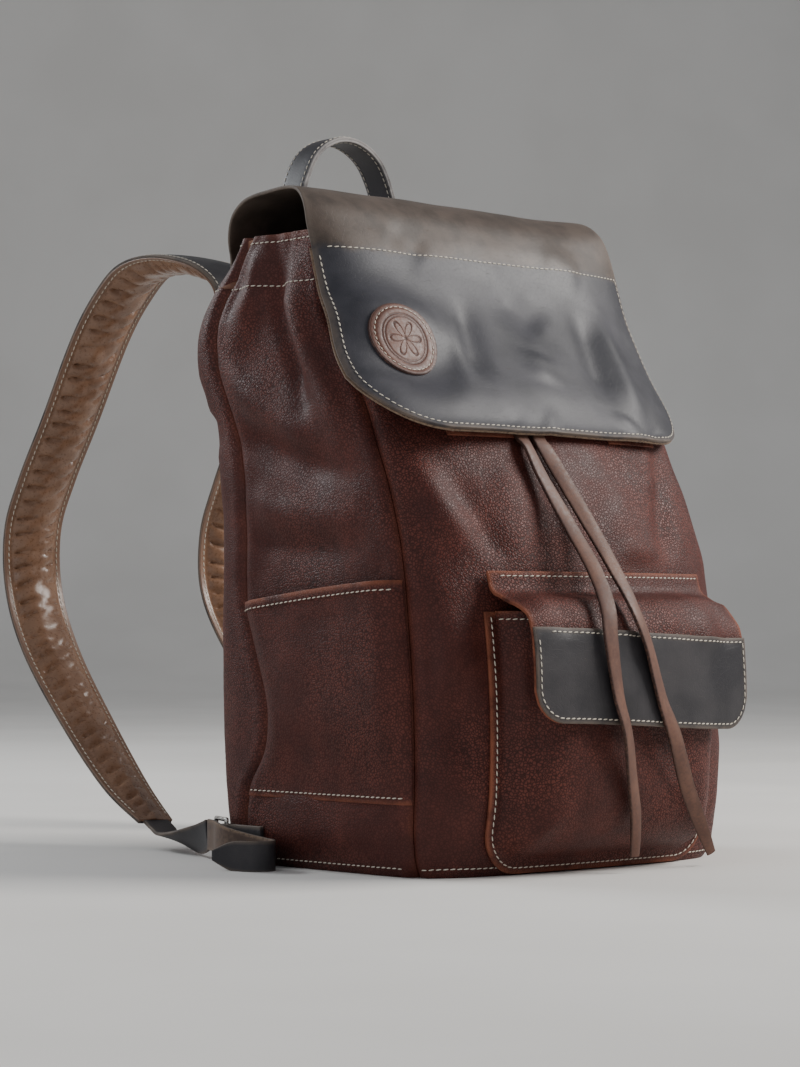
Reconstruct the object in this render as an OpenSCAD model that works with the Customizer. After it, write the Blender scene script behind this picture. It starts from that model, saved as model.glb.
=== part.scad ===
// Drawstring leather backpack: soft body, magnetic flap, gusseted front pocket,
// two side pockets, carry handle, and two padded shoulder straps buckled at the base corners.
// X is the width (right is +X), the front faces -Y, +Z is up, and the base rests on z = 0.

/* [Body] */
// Overall width scale of the body
body_width = 312; // [290:1:330]
// Squareness of the body's plan outline
plan_power = 7; // [4:0.5:8]
// Thickness of the body leather
leather = 2.2; // [1.8:0.1:2.6]
// Angle at which the side panels meet the back panel, seen in plan
back_seam_angle = 30; // [24:1:36]
// Angle at which the side panels meet the front panel, seen in plan
front_seam_angle = 40; // [34:1:46]

/* [Mouth] */
// Height of the drawstring casing, from its lower stitch line to the mouth
casing_height = 36; // [30:1:42]
// Distance of the eyelets from the centre line
eyelet_x = 22; // [18:1:30]

/* [Main flap] */
// Width of the main flap
flap_width = 306; // [292:1:312]
// Radius of the flap's lower corners
flap_corner = 46; // [30:1:60]
// Thickness of the flap's outer leather
flap_leather = 2.4; // [2:0.1:2.8]
// Thickness of the facing sewn under the flap's front
facing = 1.8; // [1.4:0.1:2.2]

/* [Front pocket] */
// Width of the front pocket
pocket_width = 218; // [200:1:222]
// Height of the pocket's mouth above the ground
pocket_top = 181; // [172:1:182]
// How far the full pocket stands out of the front panel
pocket_depth = 28; // [20:1:29]
// Width of the pocket's flap
pocket_flap_width = 212; // [200:1:216]

/* [Side pockets] */
// Height of the side pocket's lower stitch line
side_pocket_low = 56; // [50:1:70]
// Height of the side pocket's mouth at the front seam
side_pocket_high = 202; // [190:1:210]
// How far the side pocket stands out of the side panel
side_pocket_depth = 10; // [8:1:12]

/* [Shoulder straps] */
// Width of the padded strap
strap_width = 54; // [48:1:58]
// Thickness of the strap's padding
pad_thickness = 12; // [9:1:14]
// Width of the adjusting strap at the base
billet_width = 22; // [18:1:24]

/* [Handle] */
// Width of the handle's leather
handle_width = 27; // [22:1:28]

/* [Laces] */
// Width of the flat drawstring lace
lace_width = 12; // [9:1:13]
// Thickness of the lace
lace_thickness = 2.6; // [2:0.1:3]

/* [Hidden] */
skin = 0.5;              // smallest gap kept between pieces that only lie on each other
half_body = body_width / 2;

// Plan of the body at each height: z, inset of the half width, front y, back y, bulge of the
// front and bulge of the back. The upper half leans back, as the full bag does when it stands.
BODY = [
    [  0, 10, -92, 130,  6, 2], [ 14,  4, -95, 136, 10, 3], [ 30,  1, -96, 137, 14, 4],
    [ 60,  0, -98, 139, 18, 5], [118,  0, -97, 143, 21, 6], [170,  0, -92, 143, 22, 6],
    [219,  1, -84, 142, 22, 6], [245,  2, -76, 143, 22, 6], [271,  3, -66, 146, 21, 6],
    [296,  4, -54, 153, 20, 6], [321,  5, -42, 161, 18, 6], [340,  6, -30, 166, 16, 5],
    [358,  7, -18, 170, 14, 4], [387,  9,   2, 168, 10, 4], [410, 12,  12, 156,  7, 3],
    [430, 14,  18, 142,  5, 2], [450, 16,  23, 126,  4, 1]
];
mouth_z = BODY[len(BODY) - 1][0];
casing_low = mouth_z - casing_height;

// ---- curves ----------------------------------------------------------------------------
function clamp(v, low, high) = min(max(v, low), high);
function ease(t) = t * t * (3 - 2 * t);
function span(table, key, i = 0) =
    i >= len(table) - 2 || key <= table[i + 1][0] ? i : span(table, key, i + 1);
function slope(table, i, c) =
    let (a = max(i - 1, 0), b = min(i + 1, len(table) - 1))
    (table[b][c] - table[a][c]) / (table[b][0] - table[a][0]);
// A smooth curve through column c of a table whose first column rises.
function curve(table, key, c) =
    let (i = span(table, key), w = table[i + 1][0] - table[i][0],
         t = clamp((key - table[i][0]) / w, 0, 1))
    (2*t*t*t - 3*t*t + 1) * table[i][c] + (t*t*t - 2*t*t + t) * w * slope(table, i, c)
    + (3*t*t - 2*t*t*t) * table[i + 1][c] + (t*t*t - t*t) * w * slope(table, i + 1, c);
// A smooth curve through a list of points; u runs from 0 to the number of spans.
function spline(points, u) =
    let (i = clamp(floor(u), 0, len(points) - 2), t = u - i, last = len(points) - 1,
         a = points[max(i - 1, 0)], b = points[i], c = points[i + 1], d = points[min(i + 2, last)])
    b + 0.5 * t * ((c - a) + t * (2*a - 5*b + 4*c - d + t * (3*b - 3*c + d - a)));
function along(points, steps) =
    [for (k = [0 : steps]) spline(points, k * (len(points) - 1) / steps)];
function unit(v) = v / norm(v);
function heading(points, i) =
    unit(points[min(i + 1, len(points) - 1)] - points[max(i - 1, 0)]);

// ---- solids from two matching grids of points -------------------------------------------
module sheet(outer, inner) {
    rows = len(outer);
    cols = len(outer[0]);
    back = rows * cols;
    function at(r, c) = r * cols + c;
    front_faces = [for (r = [0 : rows - 2], c = [0 : cols - 2])
        each [[at(r, c), at(r + 1, c + 1), at(r, c + 1)], [at(r, c), at(r + 1, c), at(r + 1, c + 1)]]];
    back_faces = [for (f = front_faces) [f[2] + back, f[1] + back, f[0] + back]];
    function rim(a, b) = [[a, b, b + back], [a, b + back, a + back]];
    rims = concat(
        [for (c = [0 : cols - 2]) each rim(at(0, c), at(0, c + 1))],
        [for (c = [0 : cols - 2]) each rim(at(rows - 1, c + 1), at(rows - 1, c))],
        [for (r = [0 : rows - 2]) each rim(at(r + 1, 0), at(r, 0))],
        [for (r = [0 : rows - 2]) each rim(at(r, cols - 1), at(r + 1, cols - 1))]);
    polyhedron([each [for (r = outer) each r], each [for (r = inner) each r]],
               concat(front_faces, back_faces, rims), convexity = 8);
}

// ---- body surface ------------------------------------------------------------------------
// The point of the body's surface at a plan angle and height, moved inwards by inset.
function body_point(angle, z, inset = 0) =
    let (hx = half_body - curve(BODY, z, 1) - inset,
         yf = curve(BODY, z, 2) + inset, yb = curve(BODY, z, 3) - inset,
         c = cos(angle), s = sin(angle),
         d = pow(pow(abs(c), plan_power) + pow(abs(s), plan_power), 1 / plan_power),
         x = hx * c / d, y = (yf + yb) / 2 + (yb - yf) / 2 * s / d,
         bulge = s < 0 ? -curve(BODY, z, 4) : curve(BODY, z, 5))
    [x, y + bulge * (1 - (x / hx) * (x / hx)), z];
// The front panel's y at a given x and height.
function front_y(x, z, inset = 0) =
    let (hx = half_body - curve(BODY, z, 1) - inset, q = clamp(abs(x) / hx, 0, 1),
         yf = curve(BODY, z, 2) + inset, yb = curve(BODY, z, 3) - inset)
    (yf + yb) / 2 - (yb - yf) / 2 * pow(1 - pow(q, plan_power), 1 / plan_power)
    - curve(BODY, z, 4) * (1 - q * q);

function back_y(x, z) =
    let (hx = half_body - curve(BODY, z, 1), q = clamp(abs(x) / hx, 0, 1),
         yf = curve(BODY, z, 2), yb = curve(BODY, z, 3))
    (yf + yb) / 2 + (yb - yf) / 2 * pow(1 - pow(q, plan_power), 1 / plan_power)
    + curve(BODY, z, 5) * (1 - q * q);
// A piece that lies on the front panel, from low to high above it.
module on_front(left, right, bottom, top, low, high, cols, rows) {
    function grid(by) = [for (r = [0 : rows])
        [for (c = [0 : cols]) let (x = left + (right - left) * c / cols, z = bottom + (top - bottom) * r / rows)
            [x, front_y(x, z) - by, z]]];
    sheet(grid(high), grid(low));
}

module body_panel(from, to, low, high, inset, thick, cols, rows) {
    function grid(depth) = [for (r = [0 : rows])
        [for (c = [0 : cols])
            body_point(from + (to - from) * c / cols, low + (high - low) * r / rows, depth)]];
    sheet(grid(inset), grid(inset + thick));
}
module wall(from, to, cols) {
    body_panel(from, to, leather, mouth_z, 0, leather, cols, 22);
}
eyelet_z = casing_low + casing_height / 2;
eyelet_tilt = 75;        // the panel leans back here, so the eyelets look up a little
module eyelet_holes(radius) {
    for (side = [-1, 1])
        translate([side * eyelet_x, front_y(eyelet_x, eyelet_z) + leather / 2, eyelet_z])
            rotate([eyelet_tilt, 0, 0]) cylinder(r = radius, h = 30, center = true, $fn = 32);
}
module front_panel() {
    color("saddlebrown") difference() {
        wall(180 + front_seam_angle, 360 - front_seam_angle, 14);
        eyelet_holes(6.6);
    }
}
module back_panel() { color("saddlebrown") wall(back_seam_angle, 180 - back_seam_angle, 18); }
module side_panel_left() { color("saddlebrown") wall(180 - back_seam_angle, 180 + front_seam_angle, 14); }
module side_panel_right() { color("saddlebrown") wall(-front_seam_angle, back_seam_angle, 14); }
module plan(z, inset) {
    polygon([for (a = [0 : 5 : 355]) let (p = body_point(a, z, inset)) [p[0], p[1]]]);
}
module base_panel() { color("saddlebrown") linear_extrude(leather) plan(0, 0); }
module base_board() {
    color("tan") translate([0, 0, leather]) linear_extrude(2.5) plan(0, leather + 3);
}

// ---- drawstring casing ----------------------------------------------------------------------
casing_gap = 4;          // room for the lace between the two plies
casing_ply = 1.6;
module casing_facing() {
    color("sienna") for (half = [0, 180])
        body_panel(half - 89.6, half + 89.6, casing_low, mouth_z - 1.5, leather + casing_gap, casing_ply, 36, 4);
}
module casing_lace() {
    mid = casing_low + casing_height / 2;
    color("peru") body_panel(-84, 264, mid - lace_width / 2, mid + lace_width / 2,
                             leather + 1.3, 2.2, 64, 2);
}
module eyelets() {
    color("darkgoldenrod") for (side = [-1, 1])
        translate([side * eyelet_x, front_y(eyelet_x, eyelet_z) + leather / 2, eyelet_z])
            rotate([eyelet_tilt, 0, 0]) rotate_extrude($fn = 48)
                translate([4.6, -1.6]) square([1.8, 3.2]);
}

// ---- main flap ---------------------------------------------------------------------------------
// Side profile (y, z) of the flap's inner face, from its sewn root up over the mouth and down.
FLAP_ROOT = [[165, 404], [156, 418], [141.5, 437], [129, 452], [120, 465], [108.5, 475.7]];
FLAP_PROFILE = [[100.9, 480], [84, 482], [62, 482], [44, 478], [27, 467], [16, 450], [8, 434], [1, 418],
                [-9, 399], [-24, 377], [-42, 353], [-59, 331], [-71, 311], [-77, 304]];
facing_start = 6;        // the facing's top edge, counted in points of the profile
flap_lift = 1.4;
flap_sag = 31;           // how far the flap's side edges fall back behind its middle
function normals(path) = [for (i = [0 : len(path) - 1]) let (h = heading(path, i)) [h[1], -h[0]]];
function shifted(path, by) = let (n = normals(path)) [for (i = [0 : len(path) - 1]) path[i] + n[i] * by];
// The length along a path up to each of its points.
function lengths(path, i = 0, done = 0) = i == len(path) - 1 ? [done] :
    concat([done], lengths(path, i + 1, done + norm(path[i + 1] - path[i])));
function corner_cut(x, half, radius) =
    let (over = abs(x) - (half - radius)) over <= 0 ? 0 : radius - sqrt(max(radius * radius - over * over, 0));
// A sheet that follows a side profile across the width; its last edge has round corners. The sides
// fall back by sag, which sets in between y = sag_from and y = sag_to.
module draped(path, low, high, width, radius, steps, cols, sag = 0, sag_from = 62, sag_to = -10, power = 4) {
    half = width / 2;
    fine = along(path, 3 * steps);
    reach = lengths(fine);
    function column(x, by) =
        let (moved = shifted(fine, by), total = reach[3 * steps] - corner_cut(x, half, radius),
             ys = [for (i = [0 : 3 * steps]) [reach[i], moved[i][0]]],
             zs = [for (i = [0 : 3 * steps]) [reach[i], moved[i][1]]])
        [for (k = [0 : steps])
            let (y = lookup(total * k / steps, ys),
                 weight = ease(clamp((sag_from - y) / (sag_from - sag_to), 0, 1)))
            [x, y + sag * weight * pow(abs(x) / half, power), lookup(total * k / steps, zs)]];
    xs = [for (c = [0 : cols]) let (q = -1 + 2 * c / cols) half * 0.999 * (1.35 * q - 0.35 * q * q * q)];
    function grid(by) = let (columns = [for (x = xs) column(x, by)])
        [for (k = [0 : steps]) [for (c = [0 : cols]) columns[c][k]]];
    sheet(grid(high), grid(low));
}
module flap_root() {
    color("dimgray") draped(FLAP_ROOT, flap_lift, flap_lift + flap_leather, flap_width, 0, 8, 2);
}
module flap_panel() {
    color("dimgray") draped(FLAP_PROFILE, flap_lift, flap_lift + flap_leather, flap_width, flap_corner,
                            22, 20, flap_sag);
}
module flap_facing() {
    front = [for (i = [facing_start : len(FLAP_PROFILE) - 1]) FLAP_PROFILE[i]];
    color("sienna") draped(front, flap_lift - facing, flap_lift, flap_width, flap_corner, 14, 20, flap_sag);
}
// A disc on the slope of the main flap or of the panel under it.
module on_slope(x, y, z, tilt, radius, low, high) {
    translate([x, y, z]) rotate([tilt, 0, 0]) translate([0, 0, low]) cylinder(r = radius, h = high - low, $fn = 64);
}
badge_radius = 26;
module flap_badge() {
    color("saddlebrown") translate([-117, -24.2, 368]) rotate([0, 0, -17]) rotate([53, 0, 0])
        cylinder(r = badge_radius, h = 2, $fn = 64);
}
snap_x = 76;
snap_z = 320;
snap_tilt = 62;
module snap_patches() {
    color("saddlebrown") for (side = [-1, 1])
        on_front(side * snap_x - 28, side * snap_x + 28, 298, 338, skin, skin + 1.2, 6, 5);
}
module snap_sockets() {
    color("silver") for (side = [-1, 1])
        on_slope(side * snap_x, front_y(snap_x, snap_z), snap_z, snap_tilt, 9, 2.2, 3.5);
}
module flap_snaps() {
    color("silver") for (side = [-1, 1])
        on_slope(side * snap_x, front_y(snap_x, snap_z), snap_z, snap_tilt, 8, 3.9, 5);
}

// ---- pockets ---------------------------------------------------------------------------------------
pocket_floor = 4;
module front_pocket() {
    cols = 22;
    rows = 14;
    function grid(wall) = [for (r = [0 : rows]) let (w = sin(90 * (rows - r) / rows),
            z = pocket_top - (pocket_top - pocket_floor - wall) * w,
            low = pow(max(1 - pow(w, 8), 0), 1 / 3))
        [for (c = [0 : cols]) let (q = sin(-90 + 180 * c / cols), x = (pocket_width / 2 - wall) * q,
                side = pow(max(1 - pow(abs(q), 6), 0), 1 / 3))
            [x, front_y(x, z) - skin - (pocket_depth - wall) * side * low, z]]];
    color("saddlebrown") sheet(grid(0), grid(leather));
}
// A pocket laid over a side panel; its mouth slopes down towards the back.
module side_pocket() {
    cols = 16;
    rows = 8;
    from = 180 - back_seam_angle + 1.5;
    to = 180 + front_seam_angle - 1.5;
    rear_high = side_pocket_high - 15;
    function grid(wall) = [for (r = [0 : rows])
        [for (c = [0 : cols]) let (t = c / cols, u = r / rows,
                top = rear_high + (side_pocket_high - rear_high) * t,
                z = side_pocket_low + (top - side_pocket_low) * u,
                full = pow(1 - pow(abs(2 * t - 1), 4), 1 / 2) * ease(clamp(u * 4, 0, 1)))
            body_point(from + (to - from) * t, z, -skin - wall - (side_pocket_depth - leather) * full)]];
    color("saddlebrown") sheet(grid(leather), grid(0));
}
module side_pocket_left() { side_pocket(); }
module side_pocket_right() { mirror([1, 0, 0]) side_pocket(); }

// Side profile (y, z) of the pocket flap's inner face, from its seam over the pocket and down.
POCKET_FLAP = [[-114, 200], [-115.5, 194], [-120, 189.5], [-129, 189.5], [-138, 188], [-145, 182],
               [-149, 172], [-151, 155], [-151.5, 134], [-151, 107]];
overlay_start = 6;
pocket_sag = 8;
module pocket_flap_welt() {
    color("sienna") on_front(-pocket_flap_width / 2, pocket_flap_width / 2, 206, 216, skin, skin + 2, 14, 2);
}
module pocket_draped(path, low, high, steps) {
    draped(path, low, high, pocket_flap_width, 24, steps, 18, pocket_sag, -118, -140, 2);
}
module pocket_flap_leather() {
    color("sienna") pocket_draped(POCKET_FLAP, 0, leather, 24);
}
module pocket_flap_overlay() {
    path = [for (i = [overlay_start : len(POCKET_FLAP) - 1]) POCKET_FLAP[i]];
    color("dimgray") pocket_draped(path, leather, leather + 1.8, 12);
}
pocket_snap_z = 128;
module pocket_snap_socket() {
    color("silver") translate([0, front_y(0, pocket_snap_z) - pocket_depth - skin - 0.3, pocket_snap_z])
        rotate([90, 0, 0]) cylinder(r = 8, h = 1.2, $fn = 48);
}
module pocket_flap_snap() {
    color("silver") translate([0, -151.2, pocket_snap_z]) rotate([-90, 0, 0]) cylinder(r = 7, h = 1.2, $fn = 48);
}

// ---- ribbons: straps, handle and laces ------------------------------------------------------------------
function each_of(v, path) = is_list(v) ? v : [for (p = path) v];
// A flat band along a path. sides holds the direction of its width at each point; widths, lows and
// highs hold its width and the two levels of its faces, each a number or one number a point.
module ribbon(path, sides, widths, lows, highs, steps) {
    fine = along(path, steps);
    turns = along(sides, steps);
    wide = along(each_of(widths, path), steps);
    bottom = along(each_of(lows, path), steps);
    top = along(each_of(highs, path), steps);
    function row(i, by) =
        let (h = heading(fine, i), flat = turns[i] - h * (turns[i] * h), s = unit(flat), n = cross(s, h))
        [for (side = [-1, 1]) fine[i] + s * side * wide[i] / 2 + n * by];
    sheet([for (i = [0 : steps]) row(i, bottom[i])], [for (i = [0 : steps]) row(i, top[i])]);
}
across = [1, 0, 0];
function same(path, v) = [for (p = path) v];

// ---- handle ------------------------------------------------------------------------------------------------
module back_yoke() {
    color("saddlebrown") body_panel(90 - 48, 90 + 48, 338, 386, -skin - 1.8, 1.8, 16, 5);
}
HANDLE_LEG = [[-54, 173.5, 397], [-52, 172, 423], [-50, 170, 452], [-47, 168.5, 480], [-44, 168, 505],
              [-31, 168, 529], [-11, 168, 541]];
HANDLE_TURN = [[1, 0, 0], [0.9, 0.4, 0], [0.6, 0.8, 0], [0.2, 1, 0], [0, 1, 0], [0, 1, 0], [0, 1, 0]];
function other_half(list) = [for (i = [len(list) - 1 : -1 : 0]) let (p = list[i]) [-p[0], p[1], p[2]]];
handle_path = concat(HANDLE_LEG, other_half(HANDLE_LEG));
handle_turn = concat(HANDLE_TURN, other_half(HANDLE_TURN));
module handle_outer() {
    color("dimgray") ribbon(handle_path, handle_turn, handle_width, -2.4, 0, 40);
}
module handle_lining() {
    color("slategray") ribbon(handle_path, handle_turn, handle_width, 0, 2, 40);
}

// ---- shoulder straps -----------------------------------------------------------------------------------------
strap_x = 92;
ROOT = [for (z = [350, 364, 378, 392]) [-strap_x, max(back_y(strap_x, z) + 6, 173.5), z]];
STRAP = [[-92, 176, 407], [-92, 181, 425], [-92, 206, 440], [-92, 250, 449], [-92, 288, 446],
         [-93, 314, 429], [-95, 342, 396], [-97, 379, 334], [-99, 407, 288], [-100, 425, 248],
         [-100, 423, 200], [-103, 395, 152], [-106, 344, 98], [-111, 288, 50], [-115, 246, 24]];
STRAP_WIDTH = concat([40, 48], [for (i = [0 : 9]) strap_width], [50, 42, 30]);
STRAP_FULL = concat([0.35, 0.8], [for (i = [0 : 9]) 1], [0.95, 0.7, 0.3]);
cover = 2;
lining = 1.6;
foam_half = (pad_thickness - cover - lining) / 2;
foam_low = [for (f = STRAP_FULL) -foam_half * f];
foam_high = [for (f = STRAP_FULL) foam_half * f];
strap_steps = 36;
module strap_band(lows, highs) { ribbon(STRAP, same(STRAP, across), STRAP_WIDTH, lows, highs, strap_steps); }
module strap_root() { color("dimgray") ribbon(ROOT, same(ROOT, across), 42, -2, 2, 6); }
module strap_cover() { color("dimgray") strap_band(foam_high, [for (h = foam_high) h + cover]); }
module strap_foam() { color("wheat") strap_band(foam_low, foam_high); }
module strap_lining() { color("tan") strap_band([for (h = foam_low) h - lining], foam_low); }

// The adjusting strap: flat where it leaves the padding, upright where it passes the ring.
billet_thickness = 2.4;
ring_at = [-158, 109, 22];
ring_turn = -18;
BILLET = [[-116.5, 236, 19.5], [-122, 220, 14], [-131, 192, 13], [-142, 162, 16], [-149.5, 143, 20],
          [-152, 137.5, 22]];
BILLET_TURN = [[1, 0, 0], [0.97, 0, -0.2], [0.8, 0, -0.6], [0.4, 0, -0.9], [0.1, 0, -1], [0, 0, -1]];
TAIL = [[-154.6, 131.5, 22], [-160.2, 119.5, 22], [-166.4, 107.5, 21], [-168.5, 95, 18.5], [-167, 76, 15.5],
        [-166.5, 57, 13.5], [-170, 43, 13], [-180, 35, 13], [-191, 41, 13], [-196, 57, 13], [-199, 74, 13]];
module billet() {
    color("dimgray") ribbon(BILLET, BILLET_TURN, billet_width, -billet_thickness / 2, billet_thickness / 2, 14);
}
module billet_tail() {
    widths = concat([for (i = [0 : 8]) billet_width], [billet_width * 0.9, 7]);
    color("dimgray") ribbon(TAIL, same(TAIL, [0, 0, -1]), widths, -billet_thickness / 2, billet_thickness / 2, 30);
}
ring_wire = 1.6;
ring_high = 24;
ring_long = 20;
module corner_tab() {
    color("dimgray") difference() {
        union() {
            translate([-160.2, 68, ring_at[2] - 9]) cube([4.6, 39, 18]);
            translate([ring_at[0], ring_at[1], ring_at[2] - 9]) cylinder(r = 4.6, h = 18, $fn = 48);
        }
        translate([ring_at[0], ring_at[1], ring_at[2] - 10]) cylinder(r = ring_wire + 0.15, h = 20, $fn = 48);
    }
}
module buckle_ring() {
    color("silver") translate(ring_at) rotate([0, 0, ring_turn]) {
        for (y = [0, ring_long]) translate([0, y, -ring_high / 2]) cylinder(r = ring_wire, h = ring_high, $fn = 32);
        for (z = [-1, 1]) translate([0, 0, z * ring_high / 2]) {
            rotate([-90, 0, 0]) cylinder(r = ring_wire, h = ring_long, $fn = 32);
            for (y = [0, ring_long]) translate([0, y, 0]) sphere(r = ring_wire, $fn = 32);
        }
    }
}
module strap_root_left() { strap_root(); }
module strap_root_right() { mirror([1, 0, 0]) strap_root(); }
module strap_cover_left() { strap_cover(); }
module strap_cover_right() { mirror([1, 0, 0]) strap_cover(); }
module strap_foam_left() { strap_foam(); }
module strap_foam_right() { mirror([1, 0, 0]) strap_foam(); }
module strap_lining_left() { strap_lining(); }
module strap_lining_right() { mirror([1, 0, 0]) strap_lining(); }
module billet_left() { billet(); }
module billet_right() { mirror([1, 0, 0]) billet(); }
module billet_tail_left() { billet_tail(); }
module billet_tail_right() { mirror([1, 0, 0]) billet_tail(); }
module corner_tab_left() { corner_tab(); }
module corner_tab_right() { mirror([1, 0, 0]) corner_tab(); }
module buckle_ring_left() { buckle_ring(); }
module buckle_ring_right() { mirror([1, 0, 0]) buckle_ring(); }

// ---- laces: each comes out of its eyelet, runs down under the flap and hangs over the pocket ------------------
lace_stand_off = 2.4;    // from the panel's face to the middle of the lace
// The hidden part of a lace: it lies on the panel from beside its eyelet to the flap's lower edge.
function lace_top(from, to) = [for (k = [0 : 8])
    let (z = 427 - (427 - 302) * k / 8, x = from + (to - from) * ease(k / 8))
    [x, front_y(x, z) - lace_stand_off, z]];
LACE_TOP_LEFT = lace_top(-eyelet_x, -42);
LACE_TOP_RIGHT = lace_top(eyelet_x, -26);
LACE_END_LEFT = [[-42, -78.5, 295], [-38, -90, 272], [-34, -112, 238], [-37, -137, 208], [-43, -154, 184],
                 [-45, -159.5, 160], [-38, -159.5, 125], [-28, -158.5, 100], [-17, -152, 70], [-7, -146, 40],
                 [-4, -142, 14]];
LACE_END_RIGHT = [[-26, -78.5, 295], [-19, -92, 270], [-15, -115, 236], [-17, -140, 205], [-17, -155.5, 182],
                  [-8, -159.5, 158], [5, -159.5, 122], [20, -157.5, 96], [42, -149, 60], [63, -143, 32],
                  [78, -139, 12]];
module lace(path, steps) {
    color("peru") ribbon(path, same(path, across), lace_width, -lace_thickness / 2, lace_thickness / 2, steps);
}
module lace_top_left() { lace(LACE_TOP_LEFT, 12); }
module lace_top_right() { lace(LACE_TOP_RIGHT, 12); }
module lace_end_left() { lace(LACE_END_LEFT, 24); }
module lace_end_right() { lace(LACE_END_RIGHT, 24); }

front_panel();
back_panel();
side_panel_left();
side_panel_right();
base_panel();
base_board();
casing_facing();
casing_lace();
eyelets();
side_pocket_left();
side_pocket_right();
front_pocket();
snap_sockets();
snap_patches();
pocket_snap_socket();
flap_root();
flap_panel();
flap_facing();
flap_badge();
flap_snaps();
pocket_flap_welt();
pocket_flap_leather();
pocket_flap_overlay();
pocket_flap_snap();
back_yoke();
handle_outer();
handle_lining();
strap_root_left();
strap_root_right();
strap_cover_left();
strap_cover_right();
strap_foam_left();
strap_foam_right();
strap_lining_left();
strap_lining_right();
billet_left();
billet_right();
corner_tab_left();
corner_tab_right();
buckle_ring_left();
buckle_ring_right();
billet_tail_left();
billet_tail_right();
lace_top_left();
lace_top_right();
lace_end_left();
lace_end_right();
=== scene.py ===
# %% [markdown]
# # A drawstring leather backpack, built in cells
# The bag is a soft leather body with a sewn-on flap, a front pocket with its own flap, two side
# pockets, a carry handle and two padded straps. Every cell makes one piece or one finish. A solid
# model of the same bag already exists, and its moving bodies are loaded first, so each soft piece
# made here only has to follow the same shapes. Most ride on the right body, but the main flap,
# the pocket flap, the laces and the padded straps stay where they are made.

# %% The frame
import math
import bmesh
import bpy
from bisect import bisect_right
from mathutils import Matrix, Vector, noise
from mathutils.geometry import intersect_point_line


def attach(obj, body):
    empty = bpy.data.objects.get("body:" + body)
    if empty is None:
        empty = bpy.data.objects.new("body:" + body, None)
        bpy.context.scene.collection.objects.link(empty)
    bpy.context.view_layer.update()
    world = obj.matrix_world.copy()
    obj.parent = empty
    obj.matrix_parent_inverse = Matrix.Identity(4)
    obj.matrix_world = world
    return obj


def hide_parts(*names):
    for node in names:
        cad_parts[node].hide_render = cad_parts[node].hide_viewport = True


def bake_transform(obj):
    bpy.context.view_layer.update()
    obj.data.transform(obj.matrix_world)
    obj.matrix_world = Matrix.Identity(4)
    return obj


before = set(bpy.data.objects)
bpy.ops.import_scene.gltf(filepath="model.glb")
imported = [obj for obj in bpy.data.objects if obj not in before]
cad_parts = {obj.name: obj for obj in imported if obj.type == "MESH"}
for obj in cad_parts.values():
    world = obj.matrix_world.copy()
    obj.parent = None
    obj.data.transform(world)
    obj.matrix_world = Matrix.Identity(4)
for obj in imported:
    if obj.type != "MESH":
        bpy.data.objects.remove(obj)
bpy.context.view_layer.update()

# %% [markdown]
# ## The camera
# A short telephoto keeps the bag's upright edges nearly parallel. It stands low, a little above the
# middle of the pocket, and looks at the bag's front left corner. Depth of field stays off.

# %% The camera
lens = bpy.data.cameras.new("camera")
lens.lens = 97.47
lens.sensor_width = 36
camera = bpy.data.objects.new("camera", lens)
camera.location = (-1.462, -1.4863, 0.1722)
camera.rotation_euler = (math.radians(91.81), 0, math.radians(-42.69))
bpy.context.scene.collection.objects.link(camera)
bpy.context.scene.camera = camera

# %% [markdown]
# ## Curves
# Patterns for bags are drawn with smooth curves through a few marked points, in millimetres. Two
# kinds are enough here. A table gives a value at each height, and a route is a line in space that
# can be asked for the point at any length along it.

# %% Smooth curves
MM = 0.001


def clamp(value, low=0.0, high=1.0):
    return min(max(value, low), high)


def ease(share):
    share = clamp(share)
    return share * share * (3 - 2 * share)


def hill(distance, width):
    """1 at no distance, and next to nothing at twice the width."""
    return math.exp(-(distance / width)**2)


def curve(table, key, column):
    """A smooth curve through one column of a table whose first column rises."""
    i = clamp(bisect_right([row[0] for row in table], key) - 1, 0, len(table) - 2)

    def slope(k):
        a, b = table[max(k - 1, 0)], table[min(k + 1, len(table) - 1)]
        return (b[column] - a[column]) / (b[0] - a[0])

    low, high = table[i], table[i + 1]
    width = high[0] - low[0]
    t = clamp((key - low[0]) / width)
    return ((2 * t**3 - 3 * t * t + 1) * low[column] + (t**3 - 2 * t * t + t) * width * slope(i)
            + (3 * t * t - 2 * t**3) * high[column] + (t**3 - t * t) * width * slope(i + 1))


def through(points, place):
    """A smooth curve through a list of points; place runs from 0 to the number of spans."""
    i = int(clamp(math.floor(place), 0, len(points) - 2))
    t, last = place - i, len(points) - 1
    a, b, c, d = points[max(i - 1, 0)], points[i], points[i + 1], points[min(i + 2, last)]
    return b + 0.5 * t * ((c - a) + t * (2 * a - 5 * b + 4 * c - d + t * (3 * b - 3 * c + d - a)))


class Route:
    """A smooth line through points, read by the length along it."""

    def __init__(self, points, fine=12):
        marks = [Vector(p) for p in points]
        self.points = [through(marks, k / fine) for k in range((len(marks) - 1) * fine + 1)]
        self.fine, self.reach = fine, [0.0]
        for a, b in zip(self.points, self.points[1:]):
            self.reach.append(self.reach[-1] + (b - a).length)
        self.length = self.reach[-1]

    def spot(self, s):
        i = int(clamp(bisect_right(self.reach, s) - 1, 0, len(self.points) - 2))
        return i, (s - self.reach[i]) / (self.reach[i + 1] - self.reach[i])

    def at(self, s):
        i, t = self.spot(s)
        return self.points[i].lerp(self.points[i + 1], t)

    def heading(self, s, reach=2.0):
        return (self.at(s + reach) - self.at(s - reach)).normalized()

    def value(self, values, s):
        """A list with one entry for each marked point, read at a length along the route."""
        i, t = self.spot(clamp(s, 0, self.length))
        return through(values, (i + t) / self.fine)


# %% [markdown]
# ## From a pattern piece to a mesh
# A flat grid is the leather as it lies on the bench. Each of its points is moved to where the piece
# puts it, so cutting and shaping stay in one function per piece. The grid keeps a UV map in metres
# and a value called wear, which later makes handled edges lighter. Solidify gives the leather its
# thickness, and a small bevel rounds the cut edges.

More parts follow.
